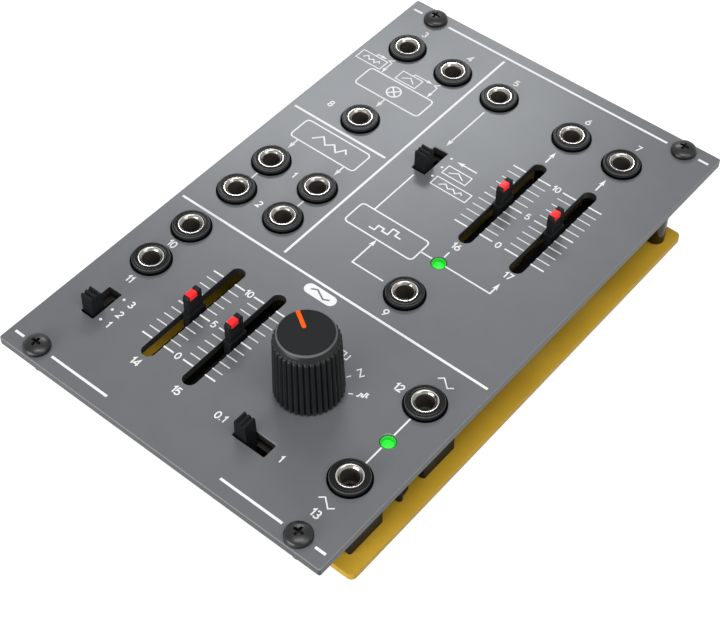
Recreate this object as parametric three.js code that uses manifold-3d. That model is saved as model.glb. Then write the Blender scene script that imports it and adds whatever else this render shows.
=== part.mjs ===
import * as THREE from 'three';
import { mergeVertices } from 'three/addons/utils/BufferGeometryUtils.js';
import Module from 'manifold-3d';

const wasm = await Module();
wasm.setup();

// Millimetres, +X along the panel's width, +Y up the panel, +Z out of its face

// Overrun of every cut past the face it breaks
const CUT = 0.4;
// Running clearance of what slides or turns, and of threads
const RUN = 0.05;
const LOOSE = 0.3;

// Facets of round work
const ROUND = 18;
const SMALL_ROUND = 12;
const PIN_ROUND = 8;
const ARC_STEPS = 4;
const BODY_ARC_STEPS = 2;

// Front panel, 16 HP wide and 3U tall
const PANEL_WIDTH = 80.9;
const PANEL_LENGTH = 128.5;
const PANEL_THICK = 2.0;
const PANEL_CORNER = 0.45;
const PANEL_BREAK = 0.2;
const SCREW_INSET_LEFT = 7.5;
const SCREW_INSET_RIGHT = 7.36;
const SCREW_INSET_END = 3.0;
const SCREW_HOLE = 1.6;

// Circuit board behind the panel
const BOARD_WIDTH = 80.8;
const BOARD_LENGTH = 108.5;
const BOARD_THICK = 1.6;
const BOARD_MIDDLE_Y = -1.45;
const BOARD_CORNER = 1.3;
const BOARD_GAP = 11.5;

// Corners of the plastic bodies on the board
const BODY_CORNER = 0.5;

// Power header on the board's rear
const HEADER_X = 0.0;
const HEADER_Y = -1.0;
const HEADER_WIDTH = 8.8;
const HEADER_LENGTH = 20.3;
const HEADER_TALL = 9.1;
const HEADER_WALL = 1.2;
const HEADER_FLOOR = 2.5;
const HEADER_KEY = 4.5;
const PIN_WIDTH = 0.64;
const PIN_PITCH = 2.54;
const PIN_INSET = 1.3;
const PIN_TAIL = 1.4;
const PIN_HOLE = 0.55;
const PIN_ROWS = 2;
const PIN_LINES = 5;

// Heights, from the header's rim that the part stands on
const BOARD_BACK_Z = HEADER_TALL;
const BOARD_TOP_Z = BOARD_BACK_Z + BOARD_THICK;
const PANEL_BACK_Z = BOARD_TOP_Z + BOARD_GAP;
const FACE_Z = PANEL_BACK_Z + PANEL_THICK;

// Panel screws, M3 pan head
const SCREW_SHANK = 1.45;
const SCREW_LENGTH = 6.0;
const SCREW_HEAD = 2.72;
const SCREW_RIM = 0.6;
const SCREW_DOME = 1.15;
const RECESS_SPAN = 2.3;
const RECESS_WIDTH = 0.55;
const RECESS_DEEP = 0.85;

// Standoff between board and panel, with its screw
const STANDOFF_X = 36.6;
const STANDOFF_Y = 48.4;
const STANDOFF_RADIUS = 2.0;
const STANDOFF_SCREW = 1.45;
const STANDOFF_HEAD = 2.7;
const STANDOFF_HEAD_TALL = 1.8;

// Jack columns and rows
const COLUMN_A = -31.65;
const COLUMN_B = -18.95;
const COLUMN_AB = -25.3;
const COLUMN_C = -6.3;
const COLUMN_D = 12.75;
const COLUMN_E = 25.4;
const COLUMN_F = 32.35;
const ROW_TOP = 49.5;
const ROW_MIX = 25.4;
const ROW_HIGH = 4.05;
const ROW_LOW = -6.65;
const ROW_CONTROL = -20.15;
const ROW_START = -31.65;
const ROW_OUT_HIGH = -25.0;
const ROW_OUT_LOW = -46.5;
const JACK_PLACES = [
  [COLUMN_A, ROW_TOP],
  [COLUMN_B, ROW_TOP],
  [COLUMN_C, ROW_TOP],
  [COLUMN_D, ROW_TOP],
  [COLUMN_E, ROW_TOP],
  [COLUMN_AB, ROW_MIX],
  [COLUMN_A, ROW_HIGH],
  [COLUMN_B, ROW_HIGH],
  [COLUMN_A, ROW_LOW],
  [COLUMN_B, ROW_LOW],
  [COLUMN_D, ROW_LOW],
  [COLUMN_A, ROW_CONTROL],
  [COLUMN_A, ROW_START],
  [COLUMN_F, ROW_OUT_HIGH],
  [COLUMN_F, ROW_OUT_LOW],
];

// Jack body, sleeve and nut
const JACK_WIDTH = 9.6;
const JACK_OFFSET_Y = -1.1;
const JACK_COLLAR = 4.0;
const JACK_COLLAR_TALL = 1.5;
const SLEEVE_RADIUS = 2.85;
const SLEEVE_HOLE = 3.0;
const SLEEVE_RISE = 1.1;
const SLEEVE_LIP_OUT = 2.62;
const SLEEVE_LIP_IN = 2.4;
const SLEEVE_LIP_DROP = 0.25;
const FUNNEL_RADIUS = 2.05;
const FUNNEL_DROP = 0.35;
const BORE_RADIUS = 1.82;
const BORE_START = 0.65;
const BORE_DEEP = 12.0;
const NUT_RADIUS = 4.3;
const NUT_TALL = 1.1;
const NUT_SKIRT = 0.45;
const NUT_FLAT = 3.75;
const NUT_SHOULDER = 4.15;
const NUT_SHOULDER_DROP = 0.2;

// Slide potentiometers, one pair below and one above
const TRAVEL = 20.0;
const SLIDER_LOW_LEFT = -16.02;
const SLIDER_LOW_RIGHT = -5.28;
const SLIDER_LOW_Y = -35.82;
const SLIDER_HIGH_LEFT = 12.8;
const SLIDER_HIGH_RIGHT = 25.45;
const SLIDER_HIGH_Y = 25.35;
const SLIDER_PLACES = [
  [SLIDER_LOW_LEFT, SLIDER_LOW_Y],
  [SLIDER_LOW_RIGHT, SLIDER_LOW_Y],
  [SLIDER_HIGH_LEFT, SLIDER_HIGH_Y],
  [SLIDER_HIGH_RIGHT, SLIDER_HIGH_Y],
];
const SLOT_WIDTH = 3.1;
const SLOT_LENGTH = 27.95;
const SLIDER_WIDTH = 9.0;
const SLIDER_LENGTH = 34.0;
const SLIDER_TALL = 4.3;
const SLIDER_WALL = 0.6;
const SLIDER_FLOOR = 0.9;
const NECK_WIDTH = 1.2;
const NECK_LENGTH = 2.6;
const FOOT_LENGTH = 3.6;
const FOOT_TALL = 2.2;
const BLADE_WIDTH = 1.45;
const BLADE_LENGTH = 3.7;
const BLADE_RISE = 5.65;
const BLADE_BEVEL = 0.5;
const COLLAR_WIDTH = 2.0;
const COLLAR_LENGTH = 4.8;
const COLLAR_RISE = 1.0;
const COLLAR_SLOPE = 0.3;
const WINDOW_LENGTH = 2.05;
const WINDOW_DEEP = 1.2;

// Knob and the switch below it
const KNOB_X = 13.4;
const KNOB_Y = -35.8;

// Slide switches: three that work alike, two along Y and one along X
const SWITCH_THROW = 2.0;
const SOURCE_SWITCH_Y = 25.37;
const RANGE_SWITCH_X = -31.5;
const RANGE_SWITCH_Y = -45.7;
const LEVEL_SWITCH_DROP = 15.28;
const SWITCH_PLACES = [
  { x: COLUMN_C, y: SOURCE_SWITCH_Y, turn: 0 },
  { x: RANGE_SWITCH_X, y: RANGE_SWITCH_Y, turn: 0 },
  { x: KNOB_X, y: KNOB_Y - LEVEL_SWITCH_DROP, turn: -Math.PI / 2 },
];
const OPENING_WIDTH = 3.43;
const OPENING_LENGTH = 7.9;
const SWITCH_WIDTH = 6.6;
const SWITCH_LENGTH = 12.6;
const SWITCH_TALL = 10.1;
const SWITCH_WALL = 0.8;
const SWITCH_FLOOR = 2.0;
const GATE_WIDTH = 2.3;
const SWITCH_NECK = 2.0;
const CARRIAGE_LENGTH = 5.4;
const CARRIAGE_TALL = 3.0;
const HANDLE_WIDTH = 2.85;
const HANDLE_LENGTH = 3.0;
const HANDLE_RISE = 4.5;
const HANDLE_BEVEL = 0.5;
const RIDGE_PITCH = 1.08;
const RIDGE_CREST = 0.34;
const GROOVE_WIDTH = 0.26;
const GROOVE_DEEP = 0.42;

// Rotary switch with its ribbed knob
const ROTARY_WIDTH = 13.0;
const ROTARY_TALL = 9.0;
const ROTARY_COLLAR = 4.4;
const SHAFT_RADIUS = 3.0;
const SHAFT_HOLE = 3.3;
const SHAFT_SEAT = 2.0;
const KNOB_LIFT = 0.35;
const KNOB_BASE = 6.85;
const KNOB_RIB_TOP = 6.35;
const KNOB_VALLEY = 0.55;
const KNOB_SHOULDER = 6.0;
const KNOB_RIM = 5.6;
const KNOB_FLAT = 4.95;
const KNOB_RIB_END = 14.45;
const KNOB_SHOULDER_RISE = 14.8;
const KNOB_RIM_RISE = 16.1;
const KNOB_RISE = 16.5;
const KNOB_RIBS = 36;
const RIB_CREST_SHARE = 0.3;
const RIB_FOOT_SHARE = 0.62;
const KNOB_HOLLOW = 5.2;
const KNOB_HOLLOW_DEEP = 2.4;
const POINTER_ANGLE = THREE.MathUtils.degToRad(148.5);
const POINTER_WIDTH = 0.95;
const POINTER_DEEP = 0.15;
const POINTER_START = 1.1;

// Lights on their round spacers
const LIGHT_LOW_Y = -35.85;
const LIGHT_PLACES = [
  [COLUMN_D, ROW_HIGH],
  [COLUMN_F, LIGHT_LOW_Y],
];
const LIGHT_RADIUS = 1.5;
const LIGHT_HOLE = 1.64;
const LIGHT_DROP = 0.12;
const LIGHT_CUP = 1.2;
const LIGHT_CUP_DEEP = 0.9;
const LIGHT_FLANGE = 1.9;
const LIGHT_FLANGE_TALL = 1.0;
const SPACER_RADIUS = 4.0;
const SPACER_TALL = 7.4;
const PEG_RADIUS = 0.7;
const PEG_X = 3.85;
const PEG_Y = -1.3;
const PEG_TALL = 5.0;

// Colours
const PAINT = { color: 0x85868b, roughness: 0.45, metalness: 0.1 };
const RESIN = { color: 0xa07c22, roughness: 0.25, metalness: 0.0 };
const DARK_METAL = { color: 0x2b2c2d, roughness: 0.35, metalness: 0.5 };
const BRIGHT_METAL = { color: 0xc9cacc, roughness: 0.15, metalness: 1.0 };
const BLACK_PLASTIC = { color: 0x222325, roughness: 0.5, metalness: 0.0 };
const DARK_NUT = { color: 0x2a2b2c, roughness: 0.4, metalness: 0.2 };
const RED_WINDOW = { color: 0xff3a3a, roughness: 0.3, metalness: 0.0 };
const GREEN_LENS = { color: 0x2cf03c, roughness: 0.2, metalness: 0.0 };

// Solids
function toSolid(geometry) {
  const bare = geometry.clone();
  bare.deleteAttribute('normal');
  bare.deleteAttribute('uv');
  const merged = mergeVertices(bare);
  const index = merged.index.array;
  const kept = [];
  for (let i = 0; i < index.length; i += 3) {
    const [a, b, c] = [index[i], index[i + 1], index[i + 2]];
    if (a !== b && b !== c && c !== a) kept.push(a, b, c);
  }
  return new wasm.Manifold(new wasm.Mesh({
    numProp: 3,
    vertProperties: new Float32Array(merged.attributes.position.array),
    triVerts: new Uint32Array(kept),
  }));
}

function toGeometry(solid) {
  const mesh = solid.getMesh();
  const geometry = new THREE.BufferGeometry();
  geometry.setAttribute('position', new THREE.BufferAttribute(new Float32Array(mesh.vertProperties), 3));
  geometry.setIndex(new THREE.BufferAttribute(new Uint32Array(mesh.triVerts), 1));
  const flat = geometry.toNonIndexed();
  flat.computeVertexNormals();
  return flat;
}

function block(width, length, tall, x, y, z) {
  const geometry = new THREE.BoxGeometry(width, length, tall);
  geometry.translate(x, y, z + tall / 2);
  return toSolid(geometry);
}

function rod(radius, tall, x, y, z, facets = ROUND) {
  const geometry = new THREE.CylinderGeometry(radius, radius, tall, facets);
  geometry.rotateX(Math.PI / 2);
  geometry.translate(x, y, z + tall / 2);
  return toSolid(geometry);
}

function turned(profile, x, y, z, facets = ROUND) {
  const points = profile.map(([radius, height]) => new THREE.Vector2(radius, height));
  const geometry = new THREE.LatheGeometry(points, facets);
  geometry.rotateX(Math.PI / 2);
  geometry.translate(x, y, z);
  return toSolid(geometry);
}

function roundedOutline(width, length, corner) {
  const shape = new THREE.Shape();
  const right = width / 2 - corner;
  const top = length / 2 - corner;
  shape.absarc(right, top, corner, 0, Math.PI / 2);
  shape.absarc(-right, top, corner, Math.PI / 2, Math.PI);
  shape.absarc(-right, -top, corner, Math.PI, 1.5 * Math.PI);
  shape.absarc(right, -top, corner, 1.5 * Math.PI, 2 * Math.PI);
  shape.closePath();
  return shape;
}

function raised(shape, tall, x, y, z, steps = ARC_STEPS) {
  const options = { depth: tall, bevelEnabled: false, curveSegments: steps };
  const geometry = new THREE.ExtrudeGeometry(shape, options);
  geometry.translate(x, y, z);
  return toSolid(geometry);
}

// A square body on the board with rounded corners
function boxBody(side, tall, x, y) {
  return raised(roundedOutline(side, side, BODY_CORNER), tall, x, y, BOARD_TOP_Z, BODY_ARC_STEPS);
}

// An outline drawn in the YZ plane and drawn out along X, centred on x
function drawnAcross(outline, width, x, y, z) {
  const shape = new THREE.Shape(outline.map(([along, height]) => new THREE.Vector2(along, height)));
  const geometry = new THREE.ExtrudeGeometry(shape, { depth: width, bevelEnabled: false });
  geometry.translate(0, 0, -width / 2);
  geometry.rotateY(Math.PI / 2);
  geometry.rotateX(Math.PI / 2);
  geometry.translate(x, y, z);
  return toSolid(geometry);
}

// Rings of equal count round one axis, lowest first, joined into one closed skin with flat ends
function lofted(rings, x, y, z) {
  const count = rings[0].length;
  const last = rings.length - 1;
  const centres = [rings[0], rings[last]].map((ring) => [0, 0, ring[0][2]]);
  const positions = [...rings.flat(), ...centres].flat();
  const bottom = rings.length * count;
  const index = [];
  for (let i = 0; i < count; i += 1) {
    const next = (i + 1) % count;
    for (let level = 0; level < last; level += 1) {
      const low = level * count + i;
      const lowNext = level * count + next;
      index.push(low, lowNext, lowNext + count);
      index.push(low, lowNext + count, low + count);
    }
    index.push(bottom, next, i);
    index.push(bottom + 1, last * count + i, last * count + next);
  }
  const geometry = new THREE.BufferGeometry();
  geometry.setAttribute('position', new THREE.BufferAttribute(new Float32Array(positions), 3));
  geometry.setIndex(index);
  geometry.translate(x, y, z);
  return toSolid(geometry);
}

const root = new THREE.Group();
root.name = 'eurorack_module';

function place(name, solid, look, parent = root) {
  const mesh = new THREE.Mesh(toGeometry(solid), new THREE.MeshStandardMaterial(look));
  mesh.name = name;
  parent.add(mesh);
  return mesh;
}

// Front panel
function screwPlaces() {
  const left = SCREW_INSET_LEFT - PANEL_WIDTH / 2;
  const right = PANEL_WIDTH / 2 - SCREW_INSET_RIGHT;
  const high = PANEL_LENGTH / 2 - SCREW_INSET_END;
  const places = [];
  for (const y of [high, -high]) {
    for (const x of [left, right]) places.push([x, y]);
  }
  return places;
}

function panelCut(shapeOrRadius, x, y, facets = ROUND) {
  const low = PANEL_BACK_Z - CUT;
  const tall = PANEL_THICK + 2 * CUT;
  if (typeof shapeOrRadius === 'number') return rod(shapeOrRadius, tall, x, y, low, facets);
  return raised(shapeOrRadius, tall, x, y, low);
}

function openingOutline(turn) {
  const across = turn === 0 ? OPENING_WIDTH : OPENING_LENGTH;
  const along = turn === 0 ? OPENING_LENGTH : OPENING_WIDTH;
  return roundedOutline(across, along, PANEL_BREAK);
}

function frontPanel() {
  const outline = roundedOutline(PANEL_WIDTH - 2 * PANEL_BREAK, PANEL_LENGTH - 2 * PANEL_BREAK,
    PANEL_CORNER - PANEL_BREAK);
  const geometry = new THREE.ExtrudeGeometry(outline, {
    depth: PANEL_THICK - 2 * PANEL_BREAK,
    bevelEnabled: true,
    bevelThickness: PANEL_BREAK,
    bevelSize: PANEL_BREAK,
    bevelSegments: 1,
    curveSegments: ARC_STEPS,
  });
  geometry.translate(0, 0, PANEL_BACK_Z + PANEL_BREAK);
  let solid = toSolid(geometry);
  for (const [x, y] of screwPlaces()) solid = solid.subtract(panelCut(SCREW_HOLE, x, y, SMALL_ROUND));
  for (const [x, y] of JACK_PLACES) solid = solid.subtract(panelCut(SLEEVE_HOLE, x, y));
  for (const [x, y] of LIGHT_PLACES) solid = solid.subtract(panelCut(LIGHT_HOLE, x, y));
  for (const [x, y] of SLIDER_PLACES) {
    solid = solid.subtract(panelCut(roundedOutline(SLOT_WIDTH, SLOT_LENGTH, SLOT_WIDTH / 2), x, y));
  }
  for (const { x, y, turn } of SWITCH_PLACES) {
    solid = solid.subtract(panelCut(openingOutline(turn), x, y));
  }
  return solid.subtract(panelCut(SHAFT_HOLE, KNOB_X, KNOB_Y));
}

// Circuit board
function pinPlaces() {
  const places = [];
  for (let row = 0; row < PIN_ROWS; row += 1) {
    for (let line = 0; line < PIN_LINES; line += 1) {
      places.push([
        HEADER_X + (row - (PIN_ROWS - 1) / 2) * PIN_PITCH,
        HEADER_Y + (line - (PIN_LINES - 1) / 2) * PIN_PITCH,
      ]);
    }
  }
  return places;
}

function circuitBoard() {
  const low = BOARD_BACK_Z - CUT;
  const tall = BOARD_THICK + 2 * CUT;
  let solid = raised(roundedOutline(BOARD_WIDTH, BOARD_LENGTH, BOARD_CORNER), BOARD_THICK,
    0, BOARD_MIDDLE_Y, BOARD_BACK_Z);
  for (const [x, y] of pinPlaces()) solid = solid.subtract(rod(PIN_HOLE, tall, x, y, low, PIN_ROUND));
  return solid.subtract(rod(STANDOFF_SCREW + RUN, tall, STANDOFF_X, STANDOFF_Y, low, SMALL_ROUND));
}

// Panel screws
function panelScrew(x, y) {
  const profile = [[0, 0], [SCREW_HEAD, 0]];
  for (let i = 0; i < ARC_STEPS; i += 1) {
    const angle = (i / ARC_STEPS) * (Math.PI / 2);
    profile.push([SCREW_HEAD * Math.cos(angle), SCREW_RIM + SCREW_DOME * Math.sin(angle)]);
  }
  profile.push([0, SCREW_RIM + SCREW_DOME]);
  const recessFloor = FACE_Z + SCREW_RIM + SCREW_DOME - RECESS_DEEP;
  return turned(profile, x, y, FACE_Z)
    .add(rod(SCREW_SHANK, SCREW_LENGTH + CUT, x, y, FACE_Z - SCREW_LENGTH, SMALL_ROUND))
    .subtract(block(RECESS_SPAN, RECESS_WIDTH, RECESS_DEEP + CUT, x, y, recessFloor))
    .subtract(block(RECESS_WIDTH, RECESS_SPAN, RECESS_DEEP + CUT, x, y, recessFloor));
}

// Standoff with its screw
function standoff() {
  const headZ = BOARD_BACK_Z - STANDOFF_HEAD_TALL;
  const shankZ = BOARD_BACK_Z - CUT;
  return rod(STANDOFF_RADIUS, BOARD_GAP, STANDOFF_X, STANDOFF_Y, BOARD_TOP_Z)
    .add(rod(STANDOFF_SCREW, BOARD_THICK + 2 * CUT, STANDOFF_X, STANDOFF_Y, shankZ, SMALL_ROUND))
    .add(rod(STANDOFF_HEAD, STANDOFF_HEAD_TALL, STANDOFF_X, STANDOFF_Y, headZ));
}

// Jacks
function jack(x, y) {
  const bodyTall = BOARD_GAP - JACK_COLLAR_TALL;
  const sleeveZ = PANEL_BACK_Z - CUT;
  const lipZ = FACE_Z + SLEEVE_RISE;
  const sleeve = turned([
    [0, sleeveZ],
    [SLEEVE_RADIUS, sleeveZ],
    [SLEEVE_RADIUS, lipZ - SLEEVE_LIP_DROP],
    [SLEEVE_LIP_OUT, lipZ],
    [0, lipZ],
  ], x, y, 0);
  const bore = turned([
    [0, lipZ - BORE_DEEP],
    [BORE_RADIUS, lipZ - BORE_DEEP],
    [BORE_RADIUS, lipZ - BORE_START],
    [FUNNEL_RADIUS, lipZ - FUNNEL_DROP],
    [SLEEVE_LIP_IN, lipZ],
    [SLEEVE_LIP_IN, lipZ + CUT],
    [0, lipZ + CUT],
  ], x, y, 0);
  return boxBody(JACK_WIDTH, bodyTall, x, y + JACK_OFFSET_Y)
    .add(rod(JACK_COLLAR, JACK_COLLAR_TALL + CUT, x, y, PANEL_BACK_Z - JACK_COLLAR_TALL - CUT))
    .add(sleeve)
    .subtract(bore);
}

function jackNut(x, y) {
  const bore = SLEEVE_RADIUS + RUN;
  return turned([
    [bore, 0],
    [NUT_RADIUS, 0],
    [NUT_RADIUS, NUT_SKIRT],
    [NUT_SHOULDER, NUT_TALL - NUT_SHOULDER_DROP],
    [NUT_FLAT, NUT_TALL],
    [bore, NUT_TALL],
    [bore, 0],
  ], x, y, FACE_Z);
}

// Slide potentiometers
function sliderBody(x, y) {
  const gateWidth = NECK_WIDTH + 2 * LOOSE;
  const gateLength = TRAVEL + NECK_LENGTH + 2 * LOOSE;
  const roomWidth = SLIDER_WIDTH - 2 * SLIDER_WALL;
  const roomLength = SLIDER_LENGTH - 2 * SLIDER_WALL;
  const roomTall = SLIDER_TALL - SLIDER_FLOOR - SLIDER_WALL;
  return block(SLIDER_WIDTH, SLIDER_LENGTH, SLIDER_TALL, x, y, BOARD_TOP_Z)
    .subtract(block(roomWidth, roomLength, roomTall, x, y, BOARD_TOP_Z + SLIDER_FLOOR))
    .subtract(block(gateWidth, gateLength, SLIDER_TALL, x, y, BOARD_TOP_Z + SLIDER_FLOOR));
}

function windowNotch(x, y, overrun) {
  const width = BLADE_WIDTH + 2 * overrun;
  const lowZ = FACE_Z + BLADE_RISE - WINDOW_DEEP;
  return block(width, WINDOW_LENGTH, WINDOW_DEEP + overrun, x, y, lowZ);
}

function sliderLever(x, y) {
  const footWidth = SLIDER_WIDTH - 2 * SLIDER_WALL - 2 * LOOSE;
  const footZ = BOARD_TOP_Z + SLIDER_FLOOR;
  const collarZ = BOARD_TOP_Z + SLIDER_TALL + LOOSE;
  const tipZ = FACE_Z + BLADE_RISE;
  const half = BLADE_LENGTH / 2;
  const collarHalf = COLLAR_LENGTH / 2;
  const blade = drawnAcross([
    [-half, FACE_Z],
    [half, FACE_Z],
    [half, tipZ - BLADE_BEVEL],
    [half - BLADE_BEVEL, tipZ],
    [BLADE_BEVEL - half, tipZ],
    [-half, tipZ - BLADE_BEVEL],
  ], BLADE_WIDTH, x, y, 0);
  const collar = drawnAcross([
    [-collarHalf, collarZ],
    [collarHalf, collarZ],
    [collarHalf, FACE_Z + COLLAR_RISE - COLLAR_SLOPE],
    [collarHalf - COLLAR_SLOPE, FACE_Z + COLLAR_RISE],
    [COLLAR_SLOPE - collarHalf, FACE_Z + COLLAR_RISE],
    [-collarHalf, FACE_Z + COLLAR_RISE - COLLAR_SLOPE],
  ], COLLAR_WIDTH, x, y, 0);
  return block(footWidth, FOOT_LENGTH, FOOT_TALL, x, y, footZ)
    .add(block(NECK_WIDTH, NECK_LENGTH, collarZ - footZ + CUT, x, y, footZ))
    .add(collar)
    .add(blade)
    .subtract(windowNotch(x, y, CUT));
}

// Slide switches, drawn along Y about the origin and turned by their group
function switchBody() {
  const gateLength = 2 * SWITCH_THROW + HANDLE_LENGTH + 2 * LOOSE;
  const roomWidth = SWITCH_WIDTH - 2 * SWITCH_WALL;
  const roomLength = SWITCH_LENGTH - 2 * SWITCH_WALL;
  const roomTall = SWITCH_TALL - SWITCH_FLOOR - SWITCH_WALL;
  return block(SWITCH_WIDTH, SWITCH_LENGTH, SWITCH_TALL, 0, 0, BOARD_TOP_Z)
    .subtract(block(roomWidth, roomLength, roomTall, 0, 0, BOARD_TOP_Z + SWITCH_FLOOR))
    .subtract(block(GATE_WIDTH, gateLength, SWITCH_TALL, 0, 0, BOARD_TOP_Z + SWITCH_FLOOR));
}

function ridgedOutline(lowZ, topZ) {
  const half = HANDLE_LENGTH / 2;
  const crest = RIDGE_CREST / 2;
  const groove = GROOVE_WIDTH / 2;
  const floorZ = topZ - GROOVE_DEEP;
  const outline = [[-half, lowZ], [half, lowZ], [half, topZ - HANDLE_BEVEL]];
  for (const ridge of [1, 0, -1]) {
    const middle = ridge * RIDGE_PITCH;
    outline.push([middle + crest, topZ], [middle - crest, topZ]);
    const valley = middle - RIDGE_PITCH / 2;
    if (ridge > -1) outline.push([valley + groove, floorZ], [valley - groove, floorZ]);
  }
  outline.push([-half, topZ - HANDLE_BEVEL]);
  return outline;
}

function switchLever() {
  const carriageWidth = SWITCH_WIDTH - 2 * SWITCH_WALL - 2 * LOOSE;
  const roomFloorZ = BOARD_TOP_Z + SWITCH_FLOOR;
  const handleZ = BOARD_TOP_Z + SWITCH_TALL + LOOSE;
  return block(carriageWidth, CARRIAGE_LENGTH, CARRIAGE_TALL, 0, -SWITCH_THROW, roomFloorZ)
    .add(block(SWITCH_NECK, HANDLE_LENGTH, handleZ - roomFloorZ + CUT, 0, -SWITCH_THROW, roomFloorZ))
    .add(drawnAcross(ridgedOutline(handleZ, FACE_Z + HANDLE_RISE), HANDLE_WIDTH, 0, -SWITCH_THROW, 0));
}

// Rotary switch body, knob and shaft
function rotaryBody() {
  const collarTall = BOARD_GAP - ROTARY_TALL;
  const bore = SHAFT_RADIUS + RUN;
  return boxBody(ROTARY_WIDTH, ROTARY_TALL, KNOB_X, KNOB_Y)
    .add(rod(ROTARY_COLLAR, collarTall + CUT, KNOB_X, KNOB_Y, PANEL_BACK_Z - collarTall - CUT))
    .subtract(rod(bore, BOARD_GAP, KNOB_X, KNOB_Y, BOARD_TOP_Z + SHAFT_SEAT));
}

function ribbedRing(crest, valley, z) {
  const ring = [];
  const pitch = (2 * Math.PI) / KNOB_RIBS;
  for (let rib = 0; rib < KNOB_RIBS; rib += 1) {
    const middle = rib * pitch;
    const stations = [
      [-RIB_FOOT_SHARE / 2, valley],
      [-RIB_CREST_SHARE / 2, crest],
      [RIB_CREST_SHARE / 2, crest],
      [RIB_FOOT_SHARE / 2, valley],
    ];
    for (const [share, radius] of stations) {
      const angle = middle + share * pitch;
      ring.push([radius * Math.cos(angle), radius * Math.sin(angle), z]);
    }
  }
  return ring;
}

function selectorKnob() {
  const hollowZ = FACE_Z + KNOB_LIFT;
  const seatZ = BOARD_TOP_Z + SHAFT_SEAT;
  const shoulderValley = KNOB_RIB_TOP - KNOB_VALLEY;
  const body = lofted([
    ribbedRing(KNOB_BASE, KNOB_BASE - KNOB_VALLEY, KNOB_LIFT),
    ribbedRing(KNOB_RIB_TOP, shoulderValley, KNOB_RIB_END),
    ribbedRing(KNOB_SHOULDER, shoulderValley, KNOB_SHOULDER_RISE),
    ribbedRing(KNOB_RIM, KNOB_RIM, KNOB_RIM_RISE),
    ribbedRing(KNOB_FLAT, KNOB_FLAT, KNOB_RISE),
  ], KNOB_X, KNOB_Y, FACE_Z);
  const pointer = new THREE.BoxGeometry(KNOB_BASE, POINTER_WIDTH, POINTER_DEEP + CUT);
  pointer.translate(POINTER_START + KNOB_BASE / 2, 0, (CUT - POINTER_DEEP) / 2);
  pointer.rotateZ(POINTER_ANGLE);
  pointer.translate(KNOB_X, KNOB_Y, FACE_Z + KNOB_RISE);
  return body
    .subtract(rod(KNOB_HOLLOW, KNOB_HOLLOW_DEEP + CUT, KNOB_X, KNOB_Y, hollowZ - CUT))
    .add(rod(SHAFT_RADIUS, hollowZ + KNOB_HOLLOW_DEEP + CUT - seatZ, KNOB_X, KNOB_Y, seatZ))
    .subtract(toSolid(pointer));
}

// Lights with their spacers
function light(x, y) {
  const flangeZ = BOARD_TOP_Z + SPACER_TALL;
  const topZ = FACE_Z - LIGHT_DROP;
  return rod(SPACER_RADIUS, SPACER_TALL, x, y, BOARD_TOP_Z)
    .add(rod(PEG_RADIUS, PEG_TALL, x + PEG_X, y + PEG_Y, BOARD_TOP_Z, SMALL_ROUND))
    .add(rod(LIGHT_FLANGE, LIGHT_FLANGE_TALL + CUT, x, y, flangeZ - CUT))
    .add(rod(LIGHT_RADIUS, topZ - flangeZ, x, y, flangeZ))
    .subtract(rod(LIGHT_CUP, LIGHT_CUP_DEEP + CUT, x, y, topZ - LIGHT_CUP_DEEP));
}

// Power header
function powerHeader() {
  const cavityTall = HEADER_TALL - HEADER_FLOOR;
  const pinTall = BOARD_TOP_Z + PIN_TAIL - PIN_INSET;
  let solid = block(HEADER_WIDTH, HEADER_LENGTH, HEADER_TALL, HEADER_X, HEADER_Y, 0)
    .subtract(block(HEADER_WIDTH - 2 * HEADER_WALL, HEADER_LENGTH - 2 * HEADER_WALL, cavityTall + CUT,
      HEADER_X, HEADER_Y, -CUT))
    .subtract(block(HEADER_WALL + 2 * CUT, HEADER_KEY, cavityTall + CUT,
      HEADER_X + (HEADER_WIDTH - HEADER_WALL) / 2, HEADER_Y, -CUT));
  for (const [x, y] of pinPlaces()) {
    solid = solid.add(block(PIN_WIDTH, PIN_WIDTH, pinTall, x, y, PIN_INSET));
  }
  return solid;
}

// Assembly
place('front_panel', frontPanel(), PAINT);
place('circuit_board', circuitBoard(), RESIN);
screwPlaces().forEach(([x, y], i) => place(`panel_screw_${i + 1}`, panelScrew(x, y), DARK_METAL));
place('standoff', standoff(), BRIGHT_METAL);
JACK_PLACES.forEach(([x, y], i) => {
  const number = String(i + 1).padStart(2, '0');
  place(`jack_${number}`, jack(x, y), BLACK_PLASTIC);
  place(`jack_nut_${number}`, jackNut(x, y), DARK_NUT);
});
SLIDER_PLACES.forEach(([x, y], i) => {
  place(`slider_body_${i + 1}`, sliderBody(x, y), BLACK_PLASTIC);
  place(`slider_lever_${i + 1}`, sliderLever(x, y), BLACK_PLASTIC);
  place(`slider_window_${i + 1}`, windowNotch(x, y, 0), RED_WINDOW);
});
SWITCH_PLACES.forEach(({ x, y, turn }, i) => {
  const group = new THREE.Group();
  group.name = `switch_place_${i + 1}`;
  group.position.set(x, y, 0);
  group.rotation.z = turn;
  root.add(group);
  place(`switch_body_${i + 1}`, switchBody(), BLACK_PLASTIC, group);
  place(`switch_lever_${i + 1}`, switchLever(), BLACK_PLASTIC, group);
});
place('rotary_body', rotaryBody(), BLACK_PLASTIC);
place('selector_knob', selectorKnob(), BLACK_PLASTIC);
LIGHT_PLACES.forEach(([x, y], i) => place(`led_${i + 1}`, light(x, y), GREEN_LENS));
place('power_header', powerHeader(), BLACK_PLASTIC);

export default root;
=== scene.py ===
import math

import bmesh
import bpy
from mathutils import Matrix, Vector


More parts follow.
